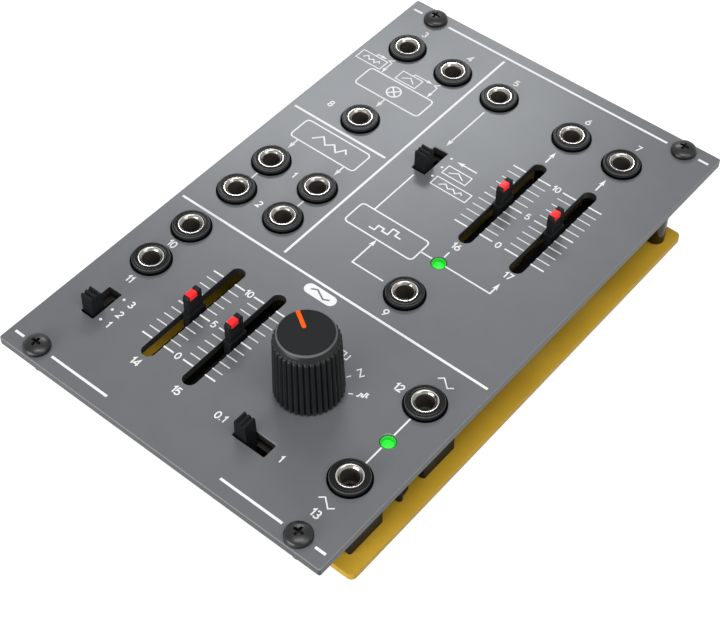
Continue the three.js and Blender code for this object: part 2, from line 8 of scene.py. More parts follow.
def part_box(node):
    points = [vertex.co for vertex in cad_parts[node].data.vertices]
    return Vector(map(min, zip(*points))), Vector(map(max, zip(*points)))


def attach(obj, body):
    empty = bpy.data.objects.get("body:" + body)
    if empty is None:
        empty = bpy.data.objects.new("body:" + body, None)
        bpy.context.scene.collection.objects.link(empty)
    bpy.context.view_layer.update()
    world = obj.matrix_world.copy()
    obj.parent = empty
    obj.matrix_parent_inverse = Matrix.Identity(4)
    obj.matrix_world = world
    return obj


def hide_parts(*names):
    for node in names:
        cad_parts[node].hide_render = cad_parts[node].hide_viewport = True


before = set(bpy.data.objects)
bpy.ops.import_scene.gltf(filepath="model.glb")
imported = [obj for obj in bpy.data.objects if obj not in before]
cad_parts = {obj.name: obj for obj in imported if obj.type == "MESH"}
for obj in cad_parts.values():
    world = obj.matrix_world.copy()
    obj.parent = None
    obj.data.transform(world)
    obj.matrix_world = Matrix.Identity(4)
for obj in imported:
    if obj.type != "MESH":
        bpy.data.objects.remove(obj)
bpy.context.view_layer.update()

# Shapes are drawn in millimetres in the frame's axes, and to_object scales them to metres
MM = 0.001
BODY = "module"
ROUND = 72
SMALL_ROUND = 32
SMOOTH_ANGLE = math.radians(38)
BEVEL_ANGLE = math.radians(25)
BEVEL_STEPS = 2
WELD = 1e-8
PLATE_WELD = 1e-7
# A turned profile ends this far from its axis
PIN_POINT = 0.01
# A cutter reaches this far past what it cuts
OVERRUN = 1.0
CORNERS = [(-1, -1), (1, -1), (1, 1), (-1, 1)]


def span(node):
    low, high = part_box(node)
    return low / MM, high / MM


def middle(node):
    low, high = span(node)
    return (low + high) / 2


FACE_Z = span("front_panel")[1].z
PANEL_BACK_Z = span("front_panel")[0].z
BOARD_TOP_Z = span("circuit_board")[1].z
BOARD_BACK_Z = span("circuit_board")[0].z
JACK_COUNT = 15
JACKS = ["%02d" % (i + 1) for i in range(JACK_COUNT)]
FADERS = [1, 2, 3, 4]
TOGGLES = [1, 2, 3]
# The slide switch that lies across the panel
CROSS_TOGGLE = 3
LIGHTS = [1, 2]
SCREWS = [1, 2, 3, 4]


# Shapes
class Shape:
    """Points in millimetres and the faces between them."""

    def __init__(self):
        self.points = []
        self.faces = []

    def add(self, points, faces):
        start = len(self.points)
        self.points.extend(tuple(point) for point in points)
        self.faces.extend([start + index for index in face] for face in faces)
        return self

    def join(self, other):
        return self.add(other.points, other.faces)


def loft(rings, caps=True):
    """Rings of equal count, lowest first, joined into one skin."""
    count = len(rings[0])
    faces = []
    for level in range(len(rings) - 1):
        low = level * count
        for i in range(count):
            j = (i + 1) % count
            faces.append([low + i, low + j, low + count + j, low + count + i])
    if caps:
        top = (len(rings) - 1) * count
        faces.append([count - 1 - i for i in range(count)])
        faces.append([top + i for i in range(count)])
    return Shape().add([point for ring in rings for point in ring], faces)


def fanned(rings, centre):
    """Rings with flat ends that fan out from the axis, for outlines that turn inward."""
    shape = loft(rings, caps=False)
    count = len(rings[0])
    for start, z in ((0, rings[0][0][2]), (count * (len(rings) - 1), rings[-1][0][2])):
        hub = len(shape.points)
        shape.points.append((centre[0], centre[1], z))
        shape.faces += [[hub, start + i, start + (i + 1) % count] for i in range(count)]
    return shape


def circle_ring(centre, radius, z, segments):
    turns = [2 * math.pi * i / segments for i in range(segments)]
    return [(centre[0] + radius * math.cos(t), centre[1] + radius * math.sin(t), z) for t in turns]


def lathe(profile, centre, segments=ROUND, ring=False):
    """A profile of (radius, height), open on the axis, or closed on itself as a ring."""
    rings = [circle_ring(centre, radius, z, segments) for radius, z in profile]
    if ring:
        return loft(rings + rings[:1], caps=False)
    return loft(rings)


def rod(radius, low, high, foot=0, head=0, inner=PIN_POINT):
    """The profile of a round rod or, with an inner radius, a ring; foot and head are its chamfers."""
    side = [(radius - foot, low), (radius, low + foot)] if foot else [(radius, low)]
    side += [(radius, high - head), (radius - head, high)] if head else [(radius, high)]
    return [(inner, low)] + side + [(inner, high)]


def bend(x, y, wide, tall, start, end, steps=12):
    """A piece of an upright ellipse about (x, y), with angles in degrees."""
    turns = [math.radians(start + (end - start) * i / steps) for i in range(steps + 1)]
    return [(x + wide * math.cos(t), y + tall * math.sin(t)) for t in turns]


def arc(centre, radius, start, end, steps):
    return bend(centre[0], centre[1], radius, radius, start, end, steps)


def rounded(width, length, corner, centre, steps=6):
    """A rectangle's outline with round corners, anticlockwise."""
    right = width / 2 - corner
    top = length / 2 - corner
    outline = []
    for x, y, start in ((right, top, 0), (-right, top, 90), (-right, -top, 180), (right, -top, 270)):
        outline += arc((centre[0] + x, centre[1] + y), corner, start, start + 90, steps)
    return outline


def prism(outline, low, high):
    return loft([[(x, y, z) for x, y in outline] for z in (low, high)])


def rectangle(centre, width, length):
    return [(centre[0] + x * width / 2, centre[1] + y * length / 2) for x, y in CORNERS]


def block(centre, width, length, low, high):
    return prism(rectangle(centre, width, length), low, high)


def extrude_across(outline, width, centre):
    """An outline of (along Y, up) carried across X."""
    rings = [[(centre[0] + x, centre[1] + y, z) for y, z in outline] for x in (-width / 2, width / 2)]
    return loft(rings)


# Pieces
def finished(source):
    """The mesh that an object's modifiers or its curve make."""
    graph = bpy.context.evaluated_depsgraph_get()
    return bpy.data.meshes.new_from_object(source.evaluated_get(graph))


def applied(piece):
    mesh = finished(piece)
    piece.modifiers.clear()
    piece.data = mesh


def welded(mesh, distance):
    """Merges points that meet and turns every face outward."""
    work = bmesh.new()
    work.from_mesh(mesh)
    bmesh.ops.remove_doubles(work, verts=work.verts, dist=distance)
    bmesh.ops.recalc_face_normals(work, faces=work.faces)
    work.to_mesh(mesh)
    work.free()


def linked(name, data):
    piece = bpy.data.objects.new(name, data)
    bpy.context.scene.collection.objects.link(piece)
    return piece


def to_object(name, shape):
    mesh = bpy.data.meshes.new(name)
    mesh.from_pydata([Vector(point) * MM for point in shape.points], [], shape.faces)
    welded(mesh, WELD)
    return linked(name, mesh)


def cut(piece, shape):
    cutter = to_object("cutter", shape)
    change = piece.modifiers.new("cut", "BOOLEAN")
    change.operation = "DIFFERENCE"
    change.solver = "EXACT"
    change.object = cutter
    applied(piece)
    bpy.data.objects.remove(cutter)


def soften(piece, width):
    bevel = piece.modifiers.new("edges", "BEVEL")
    bevel.width = width * MM
    bevel.segments = BEVEL_STEPS
    bevel.limit_method = "ANGLE"
    bevel.angle_limit = BEVEL_ANGLE
    bevel.use_clamp_overlap = True
    applied(piece)


def dress(piece, material, node="", body=BODY, smooth=SMOOTH_ANGLE):
    """Gives a piece its look, the body it moves with and the CAD node that it stands in for."""
    mesh = piece.data
    mesh.materials.clear()
    mesh.materials.append(material)
    mesh.shade_smooth()
    mesh.set_sharp_from_angle(angle=smooth)
    weigh = piece.modifiers.new("weigh", "WEIGHTED_NORMAL")
    weigh.keep_sharp = True
    applied(piece)
    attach(piece, body)
    if node:
        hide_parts(node)
    return piece


def add_piece(name, shape, material, node="", body=BODY, bevel=0):
    piece = to_object(name, shape)
    if bevel:
        soften(piece, bevel)
    return dress(piece, material, node, body)


# Materials
NOISE_DETAIL = 3.0
# Nearly all of the noise lies between these
NOISE_LOW = 0.3
NOISE_HIGH = 0.7
# Size of the patches in which the colour drifts
PATCH = 6.0


def linear(*rgb):
    """An sRGB colour from 0 to 255, as Blender's linear one."""
    shares = [value / 255 for value in rgb]
    return tuple(s / 12.92 if s <= 0.04045 else ((s + 0.055) / 1.055) ** 2.4 for s in shares) + (1.0,)


def add_node(tree, kind, values=(), sources=(), **settings):
    """A shader node with its settings, values and links."""
    made = tree.nodes.new("ShaderNode" + kind)
    for name, value in settings.items():
        setattr(made, name, value)
    for name, value in dict(values).items():
        made.inputs[name].default_value = value
    for name, source in dict(sources).items():
        tree.links.new(source, made.inputs[name])
    return made


def add_noise(tree, size):
    """Noise with features of about the given size in millimetres."""
    spots = add_node(tree, "TexCoord").outputs["Object"]
    noise = add_node(tree, "TexNoise", {"Scale": 1 / (size * MM), "Detail": NOISE_DETAIL}, {"Vector": spots})
    return noise.outputs["Fac"]


def add_range(tree, source, low, high):
    """Spreads the noise over the range from low to high."""
    ends = {"From Min": NOISE_LOW, "From Max": NOISE_HIGH, "To Min": low, "To Max": high}
    return add_node(tree, "MapRange", ends, {"Value": source}).outputs["Result"]


# The normal's height, and the share that a second tone has there, or else the gloss. The second tones are
# painted light: a painted highlight along rounded edges, painted shade or light on upright faces, and a
# painted darker reflection in a funnel
EDGE_HIGHLIGHT = [(0.2, 0), (0.4, 0.65), (0.85, 0.65), (0.97, 0)]
UPRIGHT_LIGHT_AND_SHADE = [(0.3, 1), (0.5, 0)]
FUNNEL_REFLECTION = [(0.3, 0.5), (0.5, 1), (0.85, 1), (0.97, 0)]
PAINT_GLOSS = [(0.3, 0.34), (0.5, 0.5)]
RESIN_GLOSS = [(0.3, 0.08), (0.5, 0.5)]


def main_shader(material):
    return material.node_tree.nodes["Principled BSDF"]


def surface(name, dark, light, rough, grain, bump, gloss=0.5, metal=0.0):
    """A moulded, painted or plated surface: colour drifts between two tones and a fine grain lifts it."""
    material = bpy.data.materials.new(name)
    material.use_nodes = True
    tree = material.node_tree
    fine = add_noise(tree, grain)
    drift = add_range(tree, add_noise(tree, PATCH), 0, 1)
    tones = {"A": linear(*dark), "B": linear(*light)}
    tint = add_node(tree, "Mix", tones, {"Factor": drift}, data_type="RGBA")
    lift = add_node(tree, "Bump", {"Distance": bump * MM}, {"Height": fine})
    sockets = main_shader(material).inputs
    tree.links.new(tint.outputs["Result"], sockets["Base Color"])
    tree.links.new(add_range(tree, fine, *rough), sockets["Roughness"])
    tree.links.new(lift.outputs["Normal"], sockets["Normal"])
    sockets["Specular IOR Level"].default_value = gloss
    sockets["Metallic"].default_value = metal
    return material


def by_lean(tree, stops):
    """A share read off the normal's height, which is 1 on a level face and 0 on an upright one."""
    normal = add_node(tree, "NewGeometry").outputs["Normal"]
    height = add_node(tree, "SeparateXYZ", sources={"Vector": normal}).outputs["Z"]
    ramp = add_node(tree, "ValToRGB", sources={"Fac": height})
    first, last = ramp.color_ramp.elements
    first.position, last.position = stops[0][0], stops[-1][0]
    first.color = [stops[0][1]] * 3 + [1]
    last.color = [stops[-1][1]] * 3 + [1]
    for position, share in stops[1:-1]:
        ramp.color_ramp.elements.new(position).color = [share] * 3 + [1]
    return ramp.outputs["Color"]


def retone(material, colour, stops):
    """Blends another tone in where the surface leans, as painted light or shade that follows how the face is
    turned.
    """
    tree = material.node_tree
    base = main_shader(material).inputs["Base Color"]
    blend = add_node(tree, "Mix", {"B": linear(*colour)},
                     {"A": base.links[0].from_socket, "Factor": by_lean(tree, stops)}, data_type="RGBA")
    tree.links.new(blend.outputs["Result"], base)
    return material


def dull_sides(material, stops):
    """Lets the gloss follow the lean too."""
    tree = material.node_tree
    tree.links.new(by_lean(tree, stops), main_shader(material).inputs["Specular IOR Level"])


def glow(material, colour, strength):
    sockets = main_shader(material).inputs
    sockets["Emission Color"].default_value = linear(*colour)
    sockets["Emission Strength"].default_value = strength
    return material


PAINT_SHEEN = (0.88, 0.95, 1, 1)
GREEN_LIGHT = (40, 255, 60)

PAINT = surface("panel_paint", (98, 99, 102), (101, 102, 105), (0.28, 0.32), 0.25, 0.0015)
main_shader(PAINT).inputs["Specular Tint"].default_value = PAINT_SHEEN
# Painted shade darkens the panel's upright sides and hole walls, and a painted highlight lightens its
# rounded edges
PAINT = retone(retone(PAINT, (50, 50, 52), UPRIGHT_LIGHT_AND_SHADE), (154, 155, 158), EDGE_HIGHLIGHT)
dull_sides(PAINT, PAINT_GLOSS)
PRINT = surface("white_print", (234, 234, 235), (239, 239, 240), (0.5, 0.6), 0.3, 0.001, 0.2)
FAINT_PRINT = surface("fine_print", (216, 217, 218), (224, 225, 226), (0.5, 0.6), 0.3, 0.001)
RESIN = surface("board_resin", (208, 166, 47), (216, 173, 52), (0.34, 0.42), 1.2, 0.002)
dull_sides(RESIN, RESIN_GLOSS)
BLACK_STEEL = surface("black_steel", (13, 13, 14), (17, 17, 18), (0.3, 0.34), 0.3, 0.0001)
CHROME = surface("chrome", (214, 213, 210), (220, 219, 216), (0.2, 0.22), 0.6, 0.00005, metal=1.0)
# A darker tone on the sleeve's sloping funnel faces is a painted darker reflection
CHROME = retone(CHROME, (158, 155, 149), FUNNEL_REFLECTION)
STEEL = surface("post_steel", (62, 57, 50), (72, 67, 59), (0.05, 0.08), 0.6, 0.0004, metal=1.0)
BORE_METAL = surface("bore_metal", (88, 83, 78), (98, 93, 87), (0.3, 0.4), 0.4, 0.0004, metal=0.5)
BLACK = surface("black_plastic", (17, 18, 19), (21, 22, 23), (0.42, 0.54), 0.2, 0.003, 0.14)
NUT_PAINTED_LIGHT = surface("black_nut", (20, 21, 22), (24, 25, 26), (0.22, 0.27), 0.25, 0.0002, 0.14)
# Painted light lifts the nut's upright wall, and a painted highlight arc runs round its shoulder
NUT_PAINTED_LIGHT = retone(retone(NUT_PAINTED_LIGHT, (42, 45, 47), UPRIGHT_LIGHT_AND_SHADE), (92, 94, 96), EDGE_HIGHLIGHT)
# The foot's near black is painted shade where the nut meets the panel
FOOT_SHADE = surface("foot_painted_shade", (1, 1, 1), (3, 3, 3), (0.5, 0.6), 0.25, 0.001, 0.02)
CASE = surface("case_plastic", (20, 20, 20), (27, 26, 25), (0.5, 0.62), 0.4, 0.003, 0.2)
BROWN_STEEL = surface("brown_steel", (52, 48, 44), (64, 59, 53), (0.4, 0.5), 0.4, 0.002, metal=0.4)
KNOB = surface("knob_plastic", (24, 25, 26), (30, 31, 32), (0.28, 0.36), 0.18, 0.001, 0.22)
KNOB_RIM_HIGHLIGHT = surface("knob_rim", (24, 25, 26), (30, 31, 32), (0.28, 0.36), 0.18, 0.0004, 0.2)
# A painted highlight lightens the rim's rounded edge
KNOB_RIM_HIGHLIGHT = retone(KNOB_RIM_HIGHLIGHT, (112, 113, 114), EDGE_HIGHLIGHT)
KNOB_TOP = surface("knob_top", (31, 32, 33), (34, 35, 36), (0.5, 0.56), 0.15, 0.002, 0.08)
ORANGE = surface("orange_line", (244, 92, 2), (250, 98, 8), (0.4, 0.5), 0.3, 0.001, 0.1)
RED_PAINTED_GLOW = surface("red_lens_painted_glow", (236, 20, 22), (240, 26, 28), (0.24, 0.28), 0.6, 0.0004, 0.25)
# The red window is no lamp: its glow is painted light that brightens it
RED_PAINTED_GLOW = glow(RED_PAINTED_GLOW, (255, 44, 44), 0.3)
# The light glows as a lamp; its lens and cup wall glow less than the cup's floor, as painted shade in the
# cup
GREEN_SHADED = surface("green_lens_shaded", (34, 176, 48), (44, 188, 58), (0.24, 0.32), 0.4, 0.0004)
GREEN_SHADED = glow(GREEN_SHADED, GREEN_LIGHT, 0.12)
BRIGHT_GREEN = surface("green_glow", (30, 214, 44), (40, 226, 54), (0.4, 0.5), 0.4, 0.0004)
BRIGHT_GREEN = glow(BRIGHT_GREEN, GREEN_LIGHT, 0.6)
SOLDER = surface("solder", (168, 168, 170), (186, 186, 188), (0.22, 0.32), 0.3, 0.003, metal=1.0)
GOLD = surface("pin_gold", (206, 168, 84), (220, 182, 96), (0.16, 0.24), 0.4, 0.001, metal=1.0)


def placed(shape, turn, spot):
    """A shape drawn about the origin, turned about Z and moved."""
    matrix = Matrix.Translation((spot[0], spot[1], 0)) @ Matrix.Rotation(turn, 4, "Z")
    return Shape().add([matrix @ Vector(point) for point in shape.points], shape.faces)


def keep_node(node, material):
    """A CAD solid whose shape is right keeps its mesh and gets this material."""
    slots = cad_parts[node].data.materials
    slots.clear()
    slots.append(material)


# Front panel
PANEL_CORNER = 0.45
PANEL_EDGE = 0.18
# Faces of the plate that meet at more than this keep a crisp line between them
PANEL_SMOOTH = math.radians(20)
SCREW_HOLE = 1.6
JACK_HOLE = 3.0
LIGHT_HOLE = 1.64
SHAFT_HOLE = 3.3
SLOT_WIDTH = 3.1
SLOT_LENGTH = 27.95
# Keeps the round ends of a slot from meeting in one point
SLOT_FLAT = 0.001
OPENING_WIDTH = 3.43
OPENING_LENGTH = 7.9
OPENING_CORNER = 0.2
SPACER_RADIUS = 4.0


def circle_outline(centre, radius, steps=56):
    turns = [-2 * math.pi * i / steps for i in range(steps)]
    return [(centre[0] + radius * math.cos(t), centre[1] + radius * math.sin(t)) for t in turns]


def light_spot(number):
    """A light's axis: its spacer starts at the node's low side, and the peg stands out at the high side."""
    low, high = span("led_%d" % number)
    return Vector((low.x + SPACER_RADIUS, (low.y + high.y) / 2))


def panel_holes():
    """Outlines of every hole, clockwise, placed by the pieces that stand in them."""
    holes = [circle_outline(middle("selector_knob"), SHAFT_HOLE)]
    holes += [circle_outline(middle("panel_screw_%d" % number), SCREW_HOLE) for number in SCREWS]
    holes += [circle_outline(middle("jack_nut_" + number), JACK_HOLE) for number in JACKS]
    holes += [circle_outline(light_spot(number), LIGHT_HOLE) for number in LIGHTS]
    for number in FADERS:
        spot = middle("slider_body_%d" % number)
        holes.append(rounded(SLOT_WIDTH, SLOT_LENGTH, SLOT_WIDTH / 2 - SLOT_FLAT, spot, steps=12)[::-1])
    for number in TOGGLES:
        size = [OPENING_WIDTH, OPENING_LENGTH][::-1 if number == CROSS_TOGGLE else 1]
        holes.append(rounded(*size, OPENING_CORNER, middle("switch_body_%d" % number), steps=3)[::-1])
    return holes


def flat_plate(name, outline, holes, low, high, edge):
    """A plate with holes and softened edges, filled as a flat curve and kept as a mesh."""
    curve = bpy.data.curves.new(name, "CURVE")
    curve.dimensions = "2D"
    curve.fill_mode = "BOTH"
    curve.extrude = ((high - low) / 2 - edge) * MM
    curve.bevel_depth = edge * MM
    curve.bevel_resolution = 1
    curve.offset = -edge * MM
    for points in [outline] + holes:
        spline = curve.splines.new("POLY")
        spline.points.add(len(points) - 1)
        for point, (x, y) in zip(spline.points, points):
            point.co = (x * MM, y * MM, 0, 1)
        spline.use_cyclic_u = True
    source = linked(name + "_outline", curve)
    source.location.z = (low + high) / 2 * MM
    mesh = finished(source)
    mesh.transform(source.matrix_world)
    bpy.data.objects.remove(source)
    welded(mesh, PLATE_WELD)
    return linked(name, mesh)


def make_panel():
    low, high = span("front_panel")
    outline = rounded(high.x - low.x, high.y - low.y, PANEL_CORNER, middle("front_panel"))
    plate = flat_plate("panel_plate", outline, panel_holes(), low.z, high.z, PANEL_EDGE)
    dress(plate, PAINT, "front_panel", smooth=PANEL_SMOOTH)


# Screws
SCREW_HEAD = 2.72
SCREW_RIM = 0.5
SCREW_DOME = 1.22
SCREW_SHANK = 1.45
SCREW_EDGE = 0.15
SHANK_TIP = 0.3
# A dome's arc stops short of its top, in degrees, and a flat closes it
DOME_END = 86
RECESS_SPAN = 2.3
RECESS_FOOT = 1.5
RECESS_WIDTH = 0.56
RECESS_CORNER = 0.14
RECESS_DEEP = 0.9


def screw_recess(spot, top, down=1):
    """Two crossed arms that narrow as they go into the head and widen as much above it."""
    arms = []
    for order in (1, -1):
        rings = []
        for reach, rise in ((RECESS_FOOT, -RECESS_DEEP), (2 * RECESS_SPAN - RECESS_FOOT, RECESS_DEEP)):
            size = [reach, RECESS_WIDTH][::order]
            outline = rounded(*size, RECESS_CORNER, spot, steps=2)
            rings.append([(x, y, top + down * rise) for x, y in outline])
        arms.append(loft(rings))
    return arms


def make_screw(number):
    node = "panel_screw_%d" % number
    spot = middle(node)
    low = span(node)[0].z
    rim = FACE_Z + SCREW_RIM
    top = rim + SCREW_DOME
    dome = [(SCREW_HEAD * x, rim + SCREW_DOME * z) for x, z in arc((0, 0), 1, 0, DOME_END, steps=14)]
    profile = [(PIN_POINT, low), (SCREW_SHANK - SHANK_TIP, low), (SCREW_SHANK, low + SHANK_TIP),
               (SCREW_SHANK, FACE_Z), (SCREW_HEAD - SCREW_EDGE, FACE_Z), (SCREW_HEAD, FACE_Z + SCREW_EDGE)]
    piece = to_object("screw_%d" % number, lathe(profile + dome + [(PIN_POINT, top)], spot))
    for arm in screw_recess(spot, top):
        cut(piece, arm)
    dress(piece, BLACK_STEEL, node)


# Jacks
SLEEVE_OUT = 2.85
SLEEVE_IN = 1.98
# Radius and drop below the rim: lead-in for the nut, then the rim and the funnel
SLEEVE_LEAD = [(2.85, 0.4), (2.64, 0.2), (2.64, 0.05), (2.59, 0)]
FUNNEL = [(2.48, 0), (2.42, 0.02), (2.3, 0.12), (2.18, 0.24), (2.08, 0.38)]
BORE = 1.9
BORE_START = 0.5
BORE_DEEP = 12.0
# Ledge inside the bore: radius, then its first and last drop below the rim
LEDGE = (1.55, 4.4, 4.8)
BORE_WALL = 0.3
COLLAR_OUT = 4.0
COLLAR_TALL = 1.5
COLLAR_EDGE = 0.15
JACK_WIDTH = 9.6
JACK_CORNER = 0.5
JACK_SHIFT = -1.1


def make_jack(number):
    node = "jack_" + number
    spot = middle("jack_nut_" + number)
    top = span(node)[1].z
    floor = top - BORE_DEEP
    case_top = PANEL_BACK_Z - COLLAR_TALL
    mouth = [(radius, top - drop) for radius, drop in SLEEVE_LEAD + FUNNEL]
    sleeve = [(SLEEVE_IN, case_top), (SLEEVE_OUT, case_top)] + mouth + [(SLEEVE_IN, top - BORE_START)]
    add_piece("jack_sleeve_" + number, lathe(sleeve, spot, ring=True), CHROME, node)
    throat, ledge_start, ledge_end = LEDGE
    liner = [(BORE, top - BORE_START), (BORE, top - ledge_start), (throat, top - ledge_end), (throat, floor),
             (PIN_POINT, floor), (PIN_POINT, floor - BORE_WALL), (SLEEVE_IN, floor - BORE_WALL),
             (SLEEVE_IN, top - BORE_START)]
    add_piece("jack_bore_" + number, lathe(liner, spot, ring=True), BORE_METAL, node)
    outline = rounded(JACK_WIDTH, JACK_WIDTH, JACK_CORNER, (spot.x, spot.y + JACK_SHIFT), steps=4)
    body = to_object("jack_body_" + number, prism(outline, BOARD_TOP_Z, case_top))
    soften(body, COLLAR_EDGE)
    cut(body, lathe(rod(SLEEVE_IN, floor - BORE_WALL, PANEL_BACK_Z), spot, SMALL_ROUND))
    dress(body, CASE, node)
    collar = rod(COLLAR_OUT, case_top, PANEL_BACK_Z, head=COLLAR_EDGE, inner=SLEEVE_OUT)
    add_piece("jack_collar_" + number, lathe(collar, spot, SMALL_ROUND, ring=True), CASE, node)


# Nuts: a foot painted near black as shade where the nut meets the panel, a round shoulder and a flat top
# with a fine turned line
NUT_BORE = 2.9
NUT_LIP = 2.69
NUT_LIP_TALL = 0.12
NUT_OUT = 4.28
NUT_FOOT = 0.35
NUT_EDGE = 0.05
NUT_BODY = 3.92
NUT_SHOULDER = 0.22
NUT_SHOULDER_INSET = 0.264
NUT_LINES = [(3.22, 0), (3.17, 0.015), (3.12, 0.015), (3.07, 0)]


def make_nut(number):
    node = "jack_nut_" + number
    spot = middle(node)
    top = span(node)[1].z
    shoulder = arc((NUT_BODY - NUT_SHOULDER_INSET, top - NUT_SHOULDER), NUT_SHOULDER, 0, 90, steps=6)
    seam = FACE_Z + NUT_FOOT
    foot = rod(NUT_OUT, FACE_Z, seam, NUT_EDGE, NUT_EDGE, NUT_BORE)
    add_piece("jack_foot_" + number, lathe(foot, spot, ring=True), FOOT_SHADE, node)
    profile = [(NUT_BORE, seam), (NUT_BODY, seam)] + shoulder
    profile += [(radius, top - drop) for radius, drop in NUT_LINES]
    profile += [(NUT_LIP, top), (NUT_LIP, top - NUT_LIP_TALL), (NUT_BORE, top - 2 * NUT_LIP_TALL)]
    add_piece("jack_ring_" + number, lathe(profile, spot, ring=True), NUT_PAINTED_LIGHT, node)


# Slide controls
BLADE_WIDTH = 1.45
BLADE_LENGTH = 3.7
BLADE_FLARE = 0.1
BLADE_TOP = 5.65
BLADE_BEVEL = 0.5
BLADE_FAR_EDGE = 0.1
BLADE_EDGE = 0.1
LEVER_COLLAR = (2.0, 4.8, 1.0)
LEVER_COLLAR_EDGE = 0.3
LEVER_NECK = (1.2, 2.6)
LEVER_FOOT = (7.2, 3.6, 2.2)
LEVER_GAP = 0.3
WINDOW_LENGTH = 2.05
WINDOW_SHIFT = -0.3
WINDOW_DEEP = 1.2
WINDOW_EDGE = 0.12
WINDOW_DROP = 0.02
HOLLOW_DEEP = 0.12
HOLLOW_LENGTH = 2.5
HOLLOW_LOW = 1.5
HOLLOW_HIGH = 1.75


def make_fader(number):
    node = "slider_lever_%d" % number
    body = "fader_%d" % number
    spot = middle(node)
    low = span(node)[0].z
    top = FACE_Z + BLADE_TOP
    half = BLADE_LENGTH / 2
    collar_low = span("slider_body_%d" % number)[1].z + LEVER_GAP
    outline = [(-half - BLADE_FLARE, FACE_Z), (half + BLADE_FLARE, FACE_Z), (half, top - BLADE_FAR_EDGE),
               (half - BLADE_FAR_EDGE, top), (BLADE_BEVEL - half, top), (-half, top - BLADE_BEVEL)]
    window = (spot.x, spot.y + WINDOW_SHIFT)
    blade = to_object("fader_blade_%d" % number, extrude_across(outline, BLADE_WIDTH, spot))
    cut(blade, block(window, BLADE_WIDTH + OVERRUN, WINDOW_LENGTH, top - WINDOW_DEEP, top + OVERRUN))
    soften(blade, BLADE_EDGE)
    for side in (-1, 1):
        centre = (spot.x + side * BLADE_WIDTH / 2, spot.y)
        cut(blade, block(centre, 2 * HOLLOW_DEEP, HOLLOW_LENGTH, FACE_Z + HOLLOW_LOW, top - HOLLOW_HIGH))
    dress(blade, BLACK, node, body)
    width, length, rise = LEVER_COLLAR
    collar = block(spot, width, length, collar_low, FACE_Z + rise)
    add_piece("fader_collar_%d" % number, collar, BLACK, node, body, LEVER_COLLAR_EDGE)
    stem = block(spot, LEVER_NECK[0], LEVER_NECK[1], low + LEVER_FOOT[2], collar_low)
    stem.join(block(spot, LEVER_FOOT[0], LEVER_FOOT[1], low, low + LEVER_FOOT[2]))
    add_piece("fader_stem_%d" % number, stem, CASE, node, body, BLADE_EDGE)
    lens = block(window, BLADE_WIDTH, WINDOW_LENGTH, top - WINDOW_DEEP, top - WINDOW_DROP)
    add_piece("fader_lens_%d" % number, lens, RED_PAINTED_GLOW, "slider_window_%d" % number,
              body, WINDOW_EDGE)
    keep_node("slider_body_%d" % number, CASE)


# Slide switches
HANDLE_WIDTH = 2.85
HANDLE_LENGTH = 3.0
HANDLE_TOP = 4.5
HANDLE_DRAFT = 0.12
HANDLE_WAIST = 1.2
HANDLE_EDGE = 0.09
RIDGE_PITCH = 1.08
RIDGE_CREST = 0.1
RIDGE_FOOT = 0.2
RIDGE_DROP = 0.05
GROOVE_HALF = 0.1
GROOVE_DEEP = 0.42
SHOULDER_DROP = 0.5
THROW = 2.0
GATE_WIDTH = 2.3
GATE_LENGTH = 7.6
COVER_THICK = 0.5
CASE_WALL = 0.8
CASE_FLOOR = 2.0
CARRIAGE = (4.4, 5.4, 3.0)
CARRIAGE_NECK = 2.0


def handle_outline(low, top):
    """The switch lever seen from its side, with three ridges on top."""
    half = HANDLE_LENGTH / 2
    tip = half - HANDLE_DRAFT
    outline = [(-half, low), (half, low), (half, FACE_Z + HANDLE_WAIST), (tip, top - SHOULDER_DROP)]
    for ridge in (1, 0, -1):
        centre = ridge * RIDGE_PITCH
        outline += [(centre + RIDGE_FOOT, top - RIDGE_DROP), (centre + RIDGE_CREST, top),
                    (centre - RIDGE_CREST, top), (centre - RIDGE_FOOT, top - RIDGE_DROP)]
        if ridge > -1:
            valley = centre - RIDGE_PITCH / 2
            outline += [(valley + GROOVE_HALF, top - GROOVE_DEEP), (valley - GROOVE_HALF, top - GROOVE_DEEP)]
    return outline + [(-tip, top - SHOULDER_DROP), (-half, FACE_Z + HANDLE_WAIST)]


def make_toggle(number):
    turn = -math.pi / 2 if number == CROSS_TOGGLE else 0
    case_node = "switch_body_%d" % number
    lever_node = "switch_lever_%d" % number
    body = "toggle_%d" % number
    spot = middle(case_node)
    low, high = span(case_node)
    width, length = sorted((high.x - low.x, high.y - low.y))
    cover_low = high.z - COVER_THICK
    origin = (0, 0)
    case = block(origin, width, length, low.z, cover_low)
    room = block(origin, width - 2 * CASE_WALL, length - 2 * CASE_WALL, low.z + CASE_FLOOR, high.z)
    cover = block(origin, width, length, cover_low, high.z)
    gate = block(origin, GATE_WIDTH, GATE_LENGTH, cover_low - OVERRUN, high.z + OVERRUN)
    for name, shape, hole, edge, material in (("case", case, room, COLLAR_EDGE, CASE),
                                              ("cover", cover, gate, HANDLE_EDGE, BROWN_STEEL)):
        piece = to_object("toggle_%s_%d" % (name, number), placed(shape, turn, spot))
        cut(piece, placed(hole, turn, spot))
        soften(piece, edge)
        dress(piece, material, case_node)
    foot = span(lever_node)[0].z
    start = (0, -THROW)
    handle_low = high.z + LEVER_GAP
    handle = extrude_across(handle_outline(handle_low, FACE_Z + HANDLE_TOP), HANDLE_WIDTH, start)
    slide = block(start, CARRIAGE[0], CARRIAGE[1], foot, foot + CARRIAGE[2])
    slide.join(block(start, CARRIAGE_NECK, HANDLE_LENGTH, foot + CARRIAGE[2], handle_low))
    for name, shape, material in (("handle", handle, BLACK), ("slide", slide, CASE)):
        add_piece("toggle_%s_%d" % (name, number), placed(shape, turn, spot), material,
                  lever_node, body, HANDLE_EDGE)


